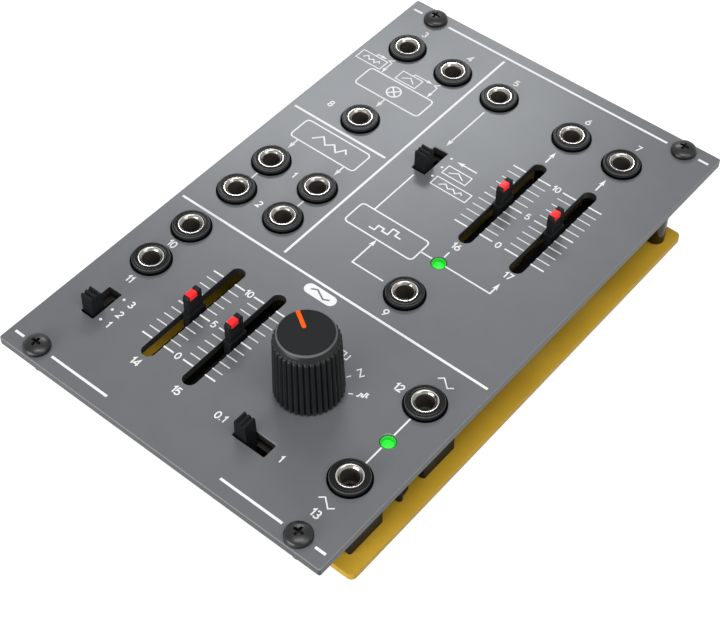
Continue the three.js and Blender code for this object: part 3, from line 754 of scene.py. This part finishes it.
# Knob
RIBS = 36
RIB_STEPS = 10
RIB_FULLNESS = 0.6
KNOB_SMOOTH = math.radians(50)
KNOB_HOLLOW = 5.2
KNOB_HOLLOW_DEEP = 2.4
SHAFT_RADIUS = 3.0
SHAFT_EDGE = 0.2
DISC_RADIUS = 5.14
DISC_EDGE = 0.05
DISC_DROP = 0.02
# Height above the panel, radius at the crest of a rib, and how deep the valley is there
KNOB_LEVELS = [
    (0.35, 6.6, 0.3), (0.47, 6.79, 0.5), (0.7, 6.85, 0.55), (4.0, 6.74, 0.58), (14.2, 6.42, 0.52),
    (14.5, 6.38, 0.46), (14.7, 6.2, 0.3), (14.82, 6.0, 0.12), (14.9, 5.92, 0.02), (15.3, 5.84, 0),
    (15.98, 5.64, 0), (16.0, 5.6, 0),
]
# Radius and height of the smooth rim round the top
KNOB_RIM_LINE = [(4.9, 16.0), (5.64, 16.0), (5.62, 16.12), (5.57, 16.23), (5.48, 16.34), (5.36, 16.43),
                 (5.22, 16.48), (5.16, 16.48), (5.15, 16.4), (4.9, 16.4)]
KNOB_RISE = 16.5
POINTER_ANGLE = math.radians(148.5)
POINTER_WIDTH = 0.82
POINTER_START = 1.05
POINTER_ARC = 172
POINTER_THICK = 0.08
POINTER_RIM = [(5.22, 16.5), (5.36, 16.45), (5.48, 16.36), (5.57, 16.25), (5.62, 16.14)]


def rib_ring(spot, crest, deep, z):
    """A ring of round ribs with a narrow valley between each two."""
    count = RIBS * RIB_STEPS
    ring = []
    for i in range(count):
        phase = i % RIB_STEPS / RIB_STEPS
        rise = math.sin(math.pi * phase) ** RIB_FULLNESS if phase else 0.0
        turn = 2 * math.pi * (i - RIB_STEPS / 2) / count
        radius = crest - deep * (1 - rise)
        ring.append((spot[0] + radius * math.cos(turn), spot[1] + radius * math.sin(turn), z))
    return ring


def make_knob():
    node = "selector_knob"
    body = "selector"
    spot = middle(node)
    low = FACE_Z + KNOB_LEVELS[0][0]
    seat = span(node)[0].z
    shell = to_object("knob_shell", fanned([rib_ring(spot, crest, deep, FACE_Z + z)
                                            for z, crest, deep in KNOB_LEVELS], spot))
    hollow_top = low + KNOB_HOLLOW_DEEP
    cut(shell, lathe(rod(KNOB_HOLLOW, low - OVERRUN, hollow_top), spot))
    dress(shell, KNOB, node, body, KNOB_SMOOTH)
    rim = [(radius, FACE_Z + z) for radius, z in KNOB_RIM_LINE]
    top = FACE_Z + KNOB_RISE - DISC_DROP
    disc = [(PIN_POINT, top - 2 * DISC_EDGE), (DISC_RADIUS - DISC_EDGE, top - 2 * DISC_EDGE),
            (DISC_RADIUS, top - DISC_EDGE), (DISC_RADIUS - DISC_EDGE, top), (PIN_POINT, top)]
    shaft = rod(SHAFT_RADIUS, seat, hollow_top, foot=SHAFT_EDGE)
    for name, shape, material in (("rim", lathe(rim, spot, ring=True), KNOB_RIM_HIGHLIGHT),
                                  ("disc", lathe(disc, spot), KNOB_TOP),
                                  ("pointer", placed(pointer(), POINTER_ANGLE, spot), ORANGE),
                                  ("shaft", lathe(shaft, spot), CHROME)):
        add_piece("knob_" + name, shape, material, node, body)


def pointer():
    """The line on the knob's top: a round inner end, then straight out and over the rim."""
    half = POINTER_WIDTH / 2
    inner_end = arc((POINTER_START + half, 0), half, POINTER_ARC, 90, steps=8)
    stations = [(along, KNOB_RISE, side) for along, side in inner_end]
    stations += [(along, rise, half) for along, rise in POINTER_RIM]
    rings = []
    for along, rise, side in stations:
        top = FACE_Z + rise
        low = top - POINTER_THICK
        rings.append([(along, -side, low), (along, side, low), (along, side, top), (along, -side, top)])
    return loft(rings)


# Lights
LIGHT_RADIUS = 1.5
LIGHT_EDGE = 0.08
LIGHT_DROP = 0.12
LIGHT_FLANGE = (1.9, 1.0)
LIGHT_CUP = [(1.34, 0), (1.28, 0.06), (1.2, 0.95), (1.12, 1.03)]
LIGHT_FLOOR = 1.1
LIGHT_FLOOR_TALL = 0.04
SPACER_TALL = 7.4
SPACER_EDGE = 0.3
PEG_SHIFT = (3.85, -1.3)
PEG_RADIUS = 0.7
PEG_TALL = 5.0
PEG_EDGE = 0.2


def make_light(number):
    node = "led_%d" % number
    spot = light_spot(number)
    top = FACE_Z - LIGHT_DROP
    seat = BOARD_TOP_Z + SPACER_TALL
    flange_radius, flange_tall = LIGHT_FLANGE
    profile = [(PIN_POINT, seat), (flange_radius, seat), (flange_radius, seat + flange_tall),
               (LIGHT_RADIUS, seat + flange_tall), (LIGHT_RADIUS, top - LIGHT_EDGE),
               (LIGHT_RADIUS - LIGHT_EDGE, top)]
    cup_floor = top - LIGHT_CUP[-1][1]
    profile += [(radius, top - drop) for radius, drop in LIGHT_CUP] + [(PIN_POINT, cup_floor)]
    glow_floor = rod(LIGHT_FLOOR, cup_floor, cup_floor + LIGHT_FLOOR_TALL)
    spacer = rod(SPACER_RADIUS, BOARD_TOP_Z, seat, head=SPACER_EDGE)
    peg = rod(PEG_RADIUS, BOARD_TOP_Z, BOARD_TOP_Z + PEG_TALL, head=PEG_EDGE)
    peg_spot = (spot.x + PEG_SHIFT[0], spot.y + PEG_SHIFT[1])
    for name, shape, material in (("lens", lathe(profile, spot), GREEN_SHADED),
                                  ("glow", lathe(glow_floor, spot), BRIGHT_GREEN),
                                  ("spacer", lathe(spacer, spot), CASE),
                                  ("peg", lathe(peg, peg_spot, SMALL_ROUND), CASE)):
        add_piece("light_%s_%d" % (name, number), shape, material, node)


# Circuit board, with the solder joints that show from behind
BOARD_CORNER = 1.3
BOARD_EDGE = 0.1
BOARD_HOLE = 1.5
JOINT = [(1.0, 0), (0.95, 0.06), (0.6, 0.3), (0.34, 0.75), (0.26, 1.1), (PIN_POINT, 1.14)]
JACK_PINS = [(0, -4.6), (-2.6, 2.6), (2.6, 2.6)]
FADER_PINS = [(-3.2, -15), (3.2, -15), (0, 15), (-3.8, 0), (3.8, 0)]
LIGHT_PINS = [(0, -1.27), (0, 1.27)]
SELECTOR_PINS = [(x, 2.5 * line) for x in (-4.8, 4.8) for line in (-2, -1, 0, 1, 2)]
TOGGLE_PINS = [(x, 2.5 * line) for x in (-1.6, 1.6) for line in (-1.5, -0.5, 0.5, 1.5)]
HEADER_PINS = [(1.27 * row, 2.54 * line) for row in (-1, 1) for line in (-2, -1, 0, 1, 2)]


def joint_spots():
    groups = [(middle("jack_nut_" + number), JACK_PINS) for number in JACKS]
    groups += [(middle("slider_body_%d" % number), FADER_PINS) for number in FADERS]
    groups += [(light_spot(number), LIGHT_PINS) for number in LIGHTS]
    for number in TOGGLES:
        pins = [(y, x) for x, y in TOGGLE_PINS] if number == CROSS_TOGGLE else TOGGLE_PINS
        groups.append((middle("switch_body_%d" % number), pins))
    groups += [(middle("rotary_body"), SELECTOR_PINS)]
    return [(axis[0] + x, axis[1] + y) for axis, pins in groups for x, y in pins]


def make_board():
    node = "circuit_board"
    low, high = span(node)
    outline = rounded(high.x - low.x, high.y - low.y, BOARD_CORNER, middle(node))
    hole = circle_outline(middle("standoff"), BOARD_HOLE, steps=24)
    plate = flat_plate("board_plate", outline, [hole], low.z, high.z, BOARD_EDGE)
    dress(plate, RESIN, node)
    joints = Shape()
    profile = [(PIN_POINT, BOARD_BACK_Z)] + [(radius, BOARD_BACK_Z - drop) for radius, drop in JOINT]
    for spot in joint_spots():
        joints.join(lathe(profile, spot, segments=16))
    add_piece("board_solder", joints, SOLDER)


# Standoff between board and panel
POST_RADIUS = 2.0
POST_EDGE = 0.15
REAR_HEAD = 2.7
REAR_HEAD_RIM = 0.5


def make_standoff():
    node = "standoff"
    spot = middle(node)
    low = span(node)[0].z
    post = rod(POST_RADIUS, BOARD_TOP_Z, PANEL_BACK_Z, POST_EDGE, POST_EDGE)
    add_piece("standoff_post", lathe(post, spot), STEEL, node)
    rim = BOARD_BACK_Z - REAR_HEAD_RIM
    dome = [(REAR_HEAD * x, rim - (rim - low) * z) for x, z in arc((0, 0), 1, DOME_END, 0, steps=10)]
    head = [(PIN_POINT, low)] + dome + [(REAR_HEAD, BOARD_BACK_Z), (SCREW_SHANK, BOARD_BACK_Z),
                                        (SCREW_SHANK, BOARD_TOP_Z), (PIN_POINT, BOARD_TOP_Z)]
    screw = to_object("standoff_screw", lathe(head, spot))
    for arm in screw_recess(spot, low, -1):
        cut(screw, arm)
    dress(screw, STEEL, node)


# Power header
HEADER_WALL = 1.2
HEADER_FLOOR = 2.5
HEADER_KEY = 4.5
HEADER_EDGE = 0.12
PIN_WIDTH = 0.64
PIN_INSET = 1.3


def make_header():
    node = "power_header"
    spot = middle(node)
    low, high = span(node)
    width = high.x - low.x
    length = high.y - low.y
    room_top = BOARD_BACK_Z - HEADER_FLOOR
    key = (high.x - HEADER_WALL / 2, spot.y)
    shell = to_object("header_shell", block(spot, width, length, 0, BOARD_BACK_Z))
    cut(shell, block(spot, width - 2 * HEADER_WALL, length - 2 * HEADER_WALL, -OVERRUN, room_top))
    cut(shell, block(key, HEADER_WALL + OVERRUN, HEADER_KEY, -OVERRUN, room_top))
    soften(shell, HEADER_EDGE)
    dress(shell, CASE, node)
    pins = Shape()
    for x, y in HEADER_PINS:
        pins.join(block((spot.x + x, spot.y + y), PIN_WIDTH, PIN_WIDTH, PIN_INSET, high.z))
    add_piece("header_pins", pins, GOLD, node, bevel=HEADER_EDGE)


# Printing on the panel
PRINT_LOW = 0.002
PRINT_HIGH = 0.014
RULE = 0.55
LINE = 0.35
FINE = 0.26
MAJOR_TICK = 0.36
MINOR_TICK = 0.25
NUMBER_WEIGHT = 0.16
# Length, half width and notch of an arrow's head
HEAD = (1.9, 0.56, 0.4)
FINE_HEAD = (1.6, 0.46, 0.3)
BOX_CORNER = 0.9
# A stroke climbs from point to point and starts higher than the last one of its sign, so that no two
# faces meet at one height where strokes cross
STROKE_CLIMB = 0.0005
STROKE_STEP = 0.005
# A mitre is never longer than half the width over this
MITRE_LIMIT = 0.35


def stroke(points, width, closed=False, lift=0.0):
    """A printed line of one width with mitred corners."""
    count = len(points)
    low = FACE_Z + PRINT_LOW + lift
    high = FACE_Z + PRINT_HIGH + lift
    spots = [Vector(point) for point in points]
    rings = []
    for i, spot in enumerate(spots):
        ahead = spots[(i + 1) % count] - spot
        behind = spot - spots[i - 1]
        if not closed and i == 0:
            behind = ahead
        if not closed and i == count - 1:
            ahead = behind
        first = behind.normalized()
        along = (first + ahead.normalized()).normalized()
        side = Vector((-along.y, along.x)) * (width / 2 / max(along.dot(first), MITRE_LIMIT))
        level = high if closed else high + STROKE_CLIMB * i
        left, right = spot + side, spot - side
        rings.append([(*left, low), (*right, low), (*right, level), (*left, level)])
    if closed:
        return loft(rings + rings[:1], caps=False)
    return loft(rings)


def inked(outline):
    return prism(outline, FACE_Z + PRINT_LOW, FACE_Z + PRINT_HIGH)


def arrow(points, width=LINE, size=HEAD):
    """A line with a barbed head at its last point."""
    length, half, hollow = size
    tip = Vector(points[-1])
    along = (tip - Vector(points[-2])).normalized()
    side = Vector((-along.y, along.x))
    back = tip - along * length
    notch = tip - along * (length - hollow)
    head = inked([tip, back + side * half, notch, back - side * half])
    return head.join(stroke([*points[:-1], notch], width))


def frame_box(left, right, low, high, corner=BOX_CORNER, width=LINE):
    centre = ((left + right) / 2, (low + high) / 2)
    size = (right - left, high - low)
    outline = rounded(*size, corner, centre, steps=5) if corner else rectangle(centre, *size)
    return stroke(outline, width, True)


# Each digit's width and its lines, in a line of height 1
DIGITS = {
    "0": (0.6, [bend(0.3, 0.5, 0.3, 0.5, 90, 450, 24)]),
    "1": (0.3, [[(0, 0.76), (0.26, 1), (0.26, 0)]]),
    "2": (0.58, [bend(0.29, 0.72, 0.28, 0.28, 165, -40) + [(0, 0), (0.58, 0)]]),
    "3": (0.58, [bend(0.28, 0.74, 0.26, 0.26, 150, -75) + bend(0.28, 0.24, 0.3, 0.24, 70, -155)]),
    "4": (0.68, [[(0.5, 0), (0.5, 1), (0, 0.28), (0.68, 0.28)]]),
    "5": (0.58, [[(0.52, 1), (0.1, 1), (0.04, 0.52)] + bend(0.27, 0.31, 0.3, 0.31, 115, -150)]),
    "6": (0.58, [[(0.46, 1)] + bend(0.29, 0.3, 0.29, 0.3, 150, 510, 20)]),
    "7": (0.56, [[(0, 1), (0.56, 1), (0.18, 0)]]),
    "8": (0.58, [bend(0.29, 0.75, 0.24, 0.25, -90, 270, 20), bend(0.29, 0.26, 0.29, 0.26, 90, 450, 20)]),
    "9": (0.58, [[(0.12, 0)] + bend(0.29, 0.7, 0.29, 0.3, -30, 330, 20)]),
    ".": (0.16, [[(0.08, 0), (0.08, 0.14)]]),
}
DIGIT_SPACE = 0.22


def numeral(text, tall, centre):
    """A number in strokes of one width, centred."""
    weight = NUMBER_WEIGHT * tall
    span_x = sum(DIGITS[digit][0] + DIGIT_SPACE for digit in text) - DIGIT_SPACE
    high = tall - weight
    x = centre[0] - span_x * high / 2
    low = centre[1] - high / 2
    shape = Shape()
    for digit in text:
        width, lines = DIGITS[digit]
        for k, points in enumerate(lines):
            path = [(x + u * high, low + v * high) for u, v in points]
            shape.join(stroke(path, weight, lift=k * STROKE_STEP))
        x += (width + DIGIT_SPACE) * high
    return shape


# Each wave is drawn in a square from -1 to 1
WAVES = {
    "saw": [[(-1, -0.8), (1, 0.8), (1, -0.8)]],
    "triangle": [[(-1, -0.7), (0, 0.8), (1, -0.7)]],
    "peaks": [[(-1, 0), (-0.5, 0.8), (0.5, -0.8), (1, 0)]],
    "square": [[(-1, -0.7), (-1, 0.7), (0, 0.7), (0, -0.7), (1, -0.7), (1, 0.7)]],
    "zigzag": [[(-1, -0.6), (-0.6, 0.7), (-0.2, -0.5), (0.15, 0.4), (0.5, -0.7), (0.8, 0.6), (1, -0.1)]],
    "stairs": [[(-1, -0.8), (-0.6, -0.8), (-0.6, 0.1), (-0.2, 0.1), (-0.2, -0.4), (0.2, -0.4), (0.2, 0.8),
                (0.6, 0.8), (0.6, 0), (1, 0)]],
    "cross": [[(-0.62, -0.62), (0.62, 0.62)], [(-0.62, 0.62), (0.62, -0.62)]],
}


def wave(name, centre, half_width, half_height, width, lift=0.0):
    """One of the signs above, drawn at a size and place of its own."""
    shape = Shape()
    for k, points in enumerate(WAVES[name]):
        line = [(centre[0] + x * half_width, centre[1] + y * half_height) for x, y in points]
        shape.join(stroke(line, width, lift=lift + k * STROKE_STEP))
    return shape


# Where the panel's printing stands, in millimetres from the panel's middle
RULES = [
    ((-29.2, 61.2), (29.1, 61.2)), ((-39.1, 61.2), (-36.7, 61.2)), ((36.8, 61.2), (39.2, 61.2)),
    ((-29.1, -61.15), (-14.3, -61.15)), ((14.4, -61.15), (29.2, -61.15)),
    ((-39.1, -61.15), (-36.7, -61.15)), ((36.8, -61.15), (39.2, -61.15)),
    ((-12.65, 59.95), (-12.65, -13.3)), ((-39.1, 20.0), (-13.95, 20.0)), ((-39.1, -14.85), (39.15, -14.85)),
]
ROUND_BOXES = [(-34.05, -16.6, 33.85, 39.8), (-34.05, -16.6, 12.55, 18.6), (-9.3, 8.15, 1.05, 7.15)]
SQUARE_BOXES = [(-39.1, -32.4, 40.5, 43.4), (-27.9, -22.5, 40.5, 43.4), (-2.2, 3.8, 24.2, 26.7),
                (-2.2, 6.7, 20.3, 22.8)]
ARROWS = [
    ((-25.35, 33.85), (-25.35, 30.6)), ((-31.65, 12.55), (-31.65, 9.2)), ((-18.95, 12.55), (-18.95, 9.2)),
    ((-6.3, 44.2), (-6.3, 30.9)), ((12.7, 40.2), (12.7, 44.0)), ((25.35, 40.2), (25.35, 44.0)),
    ((14.4, 4.1), (25.4, 4.1), (25.4, 7.4)), ((7.3, -6.65), (-0.6, -6.65), (-0.6, 1.0)),
    ((3.6, 28.6), (-1.6, 28.6)),
]
# Finer ones at the two small boxes, and the jacks' contacts below them
FINE_ARROWS = [
    ((-35.6, 43.4), (-35.6, 44.1), (-33.1, 44.1)), ((-25.1, 43.4), (-25.1, 44.1), (-20.3, 44.1)),
    ((-31.35, 44.85), (-32.4, 43.95), (-31.45, 43.7), (-31.45, 40.0)),
    ((-18.65, 44.85), (-19.7, 43.95), (-18.75, 43.7), (-18.75, 40.0)),
]
LINES = [
    ((8.15, 4.1), (11.1, 4.1)), ((-6.3, 20.0), (-6.3, 7.15)), ((12.7, 5.9), (12.7, 7.6)),
    ((32.35, -29.3), (32.35, -34.1)), ((32.35, -37.6), (32.35, -42.1)), ((-31.65, -0.3), (-31.65, -2.3)),
    ((-18.95, -0.3), (-18.95, -2.3)),
]
DOTS = [(-3.1, 28.6), (-3.1, 25.4), (-3.1, 22.2), (-28.5, -42.46), (-28.5, -45.65), (-28.5, -48.8)]
DOT_RADIUS = 0.3
BADGE = (0.075, -17.15)
BADGE_SIZE = (7.65, 2.6)
BADGE_CORNER = 1.28
BADGE_WAVE = (2.4, 0.8)
# Each number's text and place, under the height of its digits
NUMBERS = {
    1.9: [("3", -31.65, 55.9), ("4", -18.95, 55.9), ("5", -6.3, 55.9), ("6", 12.75, 55.9), ("7", 25.4, 55.9),
          ("8", -33.4, 25.4), ("9", 12.75, -12.6), ("10", -31.5, -25.9), ("11", -31.5, -37.9),
          ("12", 26.2, -25.0), ("13", 32.35, -55.9), ("14", -16.0, -51.9), ("15", -5.3, -51.9),
          ("16", 12.8, 9.7), ("17", 25.4, 10.0)],
    1.8: [("1", -25.35, 4.1), ("2", -25.35, -6.65), ("3", -26.4, -42.46), ("2", -26.4, -45.65),
          ("1", -26.4, -48.8), ("0.1", 5.2, -51.1), ("1", 20.0, -51.1)],
}
# Each sign's wave, place, half width, half height and line
SIGNS = [
    ("cross", (-25.3, 36.8), 1.6, 1.6, LINE), ("zigzag", (-25.3, 15.6), 4.4, 1.5, LINE),
    ("stairs", (-0.6, 4.1), 3.6, 1.6, LINE), ("zigzag", (-35.75, 41.95), 2.2, 0.8, FINE),
    ("triangle", (-25.2, 41.95), 1.6, 0.8, FINE), ("triangle", (0.8, 25.45), 1.8, 0.75, FINE),
    ("zigzag", (2.2, 21.55), 2.8, 0.75, FINE), ("peaks", (32.3, -18.7), 1.9, 1.0, FINE),
    ("peaks", (32.4, -53.0), 1.9, 1.0, FINE),
]
CROSS_RING = ((-25.3, 36.8), 1.6)
SCALE_PITCH = 2.0
SCALE_STEPS = 10
MAJOR_STEP = 5
SCALE_TALL = 1.75
# Each scale: its middle in Y, the two tick spans of each slot, and the numbers' place in X
SCALES = [
    (25.35, [(8.0, 17.5), (20.6, 30.15)], 12.8, 25.45, 19.0),
    (-35.8, [(-20.2, -11.9), (-9.45, -1.15)], -16.02, -5.28, -10.75),
]
SELECTOR_WAVES = ["saw", "triangle", "square", "peaks", "stairs"]
SELECTOR_START = 150
SELECTOR_STEP = -30
SELECTOR_MARK = (7.4, 8.3)
SELECTOR_ICON = 10.2
ICON_HALF = 1.0


def scale_marks():
    """White ticks with numbers at every major step, and greyer ticks between."""
    white = Shape()
    faint = Shape()
    for centre_y, spans, left, right, number_x in SCALES:
        for step in range(SCALE_STEPS + 1):
            y = centre_y + (step - SCALE_STEPS / 2) * SCALE_PITCH
            major = step % MAJOR_STEP == 0
            target, width = (white, MAJOR_TICK) if major else (faint, MINOR_TICK)
            for (low, high), slot in zip(spans, (left, right)):
                target.join(stroke([(low, y), (slot - SLOT_WIDTH / 2, y)], width))
                target.join(stroke([(slot + SLOT_WIDTH / 2, y), (high, y)], width))
            if major:
                white.join(numeral(str(step), SCALE_TALL, (number_x, y)))
    return white, faint


def selector_marks():
    shape = Shape()
    spot = middle("selector_knob")
    for step, name in enumerate(SELECTOR_WAVES):
        turn = math.radians(SELECTOR_START + SELECTOR_STEP * step)
        out = Vector((math.cos(turn), math.sin(turn)))
        shape.join(stroke([spot.xy + out * radius for radius in SELECTOR_MARK], FINE))
        shape.join(wave(name, spot.xy + out * SELECTOR_ICON, ICON_HALF, ICON_HALF, FINE))
    return shape


def make_printing():
    white, faint = scale_marks()
    marks = [stroke(points, RULE) for points in RULES]
    marks += [frame_box(*box) for box in ROUND_BOXES]
    marks += [frame_box(*box, corner=0, width=FINE) for box in SQUARE_BOXES]
    marks += [arrow(points) for points in ARROWS]
    marks += [arrow(points, FINE, FINE_HEAD) for points in FINE_ARROWS]
    marks += [stroke(points, LINE) for points in LINES]
    marks += [inked(circle_outline(centre, DOT_RADIUS, steps=20)[::-1]) for centre in DOTS]
    marks += [numeral(digits, tall, (x, y)) for tall, rows in NUMBERS.items() for digits, x, y in rows]
    marks += [wave(*sign) for sign in SIGNS]
    marks += [stroke(circle_outline(*CROSS_RING, steps=32), LINE, True), selector_marks(),
              inked(rounded(*BADGE_SIZE, BADGE_CORNER, BADGE, steps=8))]
    for mark in marks:
        white.join(mark)
    add_piece("print_white", white, PRINT)
    add_piece("print_faint", faint, FAINT_PRINT)
    add_piece("print_badge", wave("peaks", BADGE, *BADGE_WAVE, LINE, PRINT_HIGH), PAINT)


make_panel()
make_printing()
make_board()
make_standoff()
make_header()
make_knob()
for number in SCREWS:
    make_screw(number)
for number in JACKS:
    make_jack(number)
    make_nut(number)
for number in FADERS:
    make_fader(number)
for number in TOGGLES:
    make_toggle(number)
for number in LIGHTS:
    make_light(number)
keep_node("rotary_body", CASE)


# Camera, at the photo's angle
AIM = (9.668, -16.405)
AZIMUTH = 40.231
ELEVATION = 50.333
DISTANCE = 319.262
ROLL = -0.524
LENS = 82.826
SENSOR = 36.0
IMAGE_WIDTH = 720
HALF_PIXEL = 0.5
CLIP_START = 1.0


def make_camera():
    azimuth = math.radians(AZIMUTH)
    elevation = math.radians(ELEVATION)
    back = Vector((math.sin(azimuth) * math.cos(elevation), -math.cos(azimuth) * math.cos(elevation),
                   math.sin(elevation)))
    level = Vector((0, 0, 1)).cross(back).normalized()
    rise = back.cross(level)
    roll = math.radians(ROLL)
    right = level * math.cos(roll) + rise * math.sin(roll)
    up = back.cross(right)
    camera = linked("camera", bpy.data.cameras.new("camera"))
    camera.data.lens = LENS
    camera.data.sensor_width = SENSOR
    camera.data.shift_x = -HALF_PIXEL / IMAGE_WIDTH
    camera.data.shift_y = HALF_PIXEL / IMAGE_WIDTH
    camera.data.clip_start = CLIP_START * MM
    turn = Matrix((right, up, back)).transposed()
    place = (Vector((AIM[0], AIM[1], FACE_Z)) + back * DISTANCE) * MM
    camera.matrix_world = Matrix.Translation(place) @ turn.to_4x4()
    bpy.context.scene.camera = camera


# Light and floor
# Each lamp's place, aim, width, length and power
LAMPS = {
    "strip": ((-234.4, 284.4, 330.2), (0, 0, 24.2), 207, 49, 0.47),
    "top": ((100, -118, 460), (0, 0, 24.2), 330, 130, 1.0),
    "front": ((-63, -560, 160), (0, 0, 10), 400, 200, 2.3),
    "side": ((420, 0, 420), (20, 0, 10), 300, 300, 0.8),
}
WORLD_LEVEL = 0.35
# How bright the world is to the camera, and in gloss and through glass
WHITE = 1.0
GLOSS_WHITE = 0.8
FLOOR_COLOUR = (0.3, 0.3, 0.3, 1)
FLOOR_GLOW = 0.9
FLOOR_HALF = 3000.0


def make_lamp(name, place, aim, width, length, power):
    lamp = linked(name, bpy.data.lights.new(name, "AREA"))
    lamp.data.shape = "RECTANGLE"
    lamp.data.size = width * MM
    lamp.data.size_y = length * MM
    lamp.data.energy = power
    toward = Vector(aim) - Vector(place)
    turn = toward.to_track_quat("-Z", "Y").to_matrix().to_4x4()
    lamp.matrix_world = Matrix.Translation(Vector(place) * MM) @ turn


def seen_share(tree):
    """1 for what the camera sees, directly, in gloss or through glass, and 0 for light on the object."""
    path = add_node(tree, "LightPath").outputs
    share = path["Is Camera Ray"]
    for ray in ("Is Glossy Ray", "Is Transmission Ray"):
        share = add_node(tree, "Math", sources={0: share, 1: path[ray]}, operation="MAXIMUM").outputs[0]
    return share


def make_world():
    """An even studio that the camera sees as white, and gloss as a little greyer."""
    world = bpy.data.worlds.new("studio")
    world.use_nodes = True
    tree = world.node_tree
    tree.nodes.clear()
    camera_ray = add_node(tree, "LightPath").outputs["Is Camera Ray"]
    level = add_node(tree, "MapRange", {"To Min": GLOSS_WHITE, "To Max": WHITE}, {"Value": camera_ray})
    seen = add_node(tree, "Background", {"Color": (1, 1, 1, 1)}, {"Strength": level.outputs["Result"]})
    lit = add_node(tree, "Background", {"Strength": WORLD_LEVEL})
    pick = add_node(tree, "MixShader", sources={0: seen_share(tree), 1: lit.outputs[0], 2: seen.outputs[0]})
    add_node(tree, "OutputWorld", sources={"Surface": pick.outputs[0]})
    bpy.context.scene.world = world


def make_floor():
    corners = [(x * FLOOR_HALF, y * FLOOR_HALF, 0) for x, y in CORNERS]
    floor = to_object("floor", Shape().add(corners, [[0, 1, 2, 3]]))
    material = bpy.data.materials.new("floor_white")
    material.use_nodes = True
    tree = material.node_tree
    tree.nodes.clear()
    matt = add_node(tree, "BsdfDiffuse", {"Color": FLOOR_COLOUR})
    level = add_node(tree, "Math", {1: FLOOR_GLOW}, {0: seen_share(tree)}, operation="MULTIPLY")
    light = add_node(tree, "Emission", sources={"Strength": level.outputs[0]})
    both = add_node(tree, "AddShader", sources={0: matt.outputs[0], 1: light.outputs[0]})
    add_node(tree, "OutputMaterial", sources={"Surface": both.outputs[0]})
    floor.data.materials.append(material)


make_camera()
for lamp_name, values in LAMPS.items():
    make_lamp(lamp_name, *values)
make_world()
make_floor()
bpy.context.scene.view_settings.view_transform = "Standard"
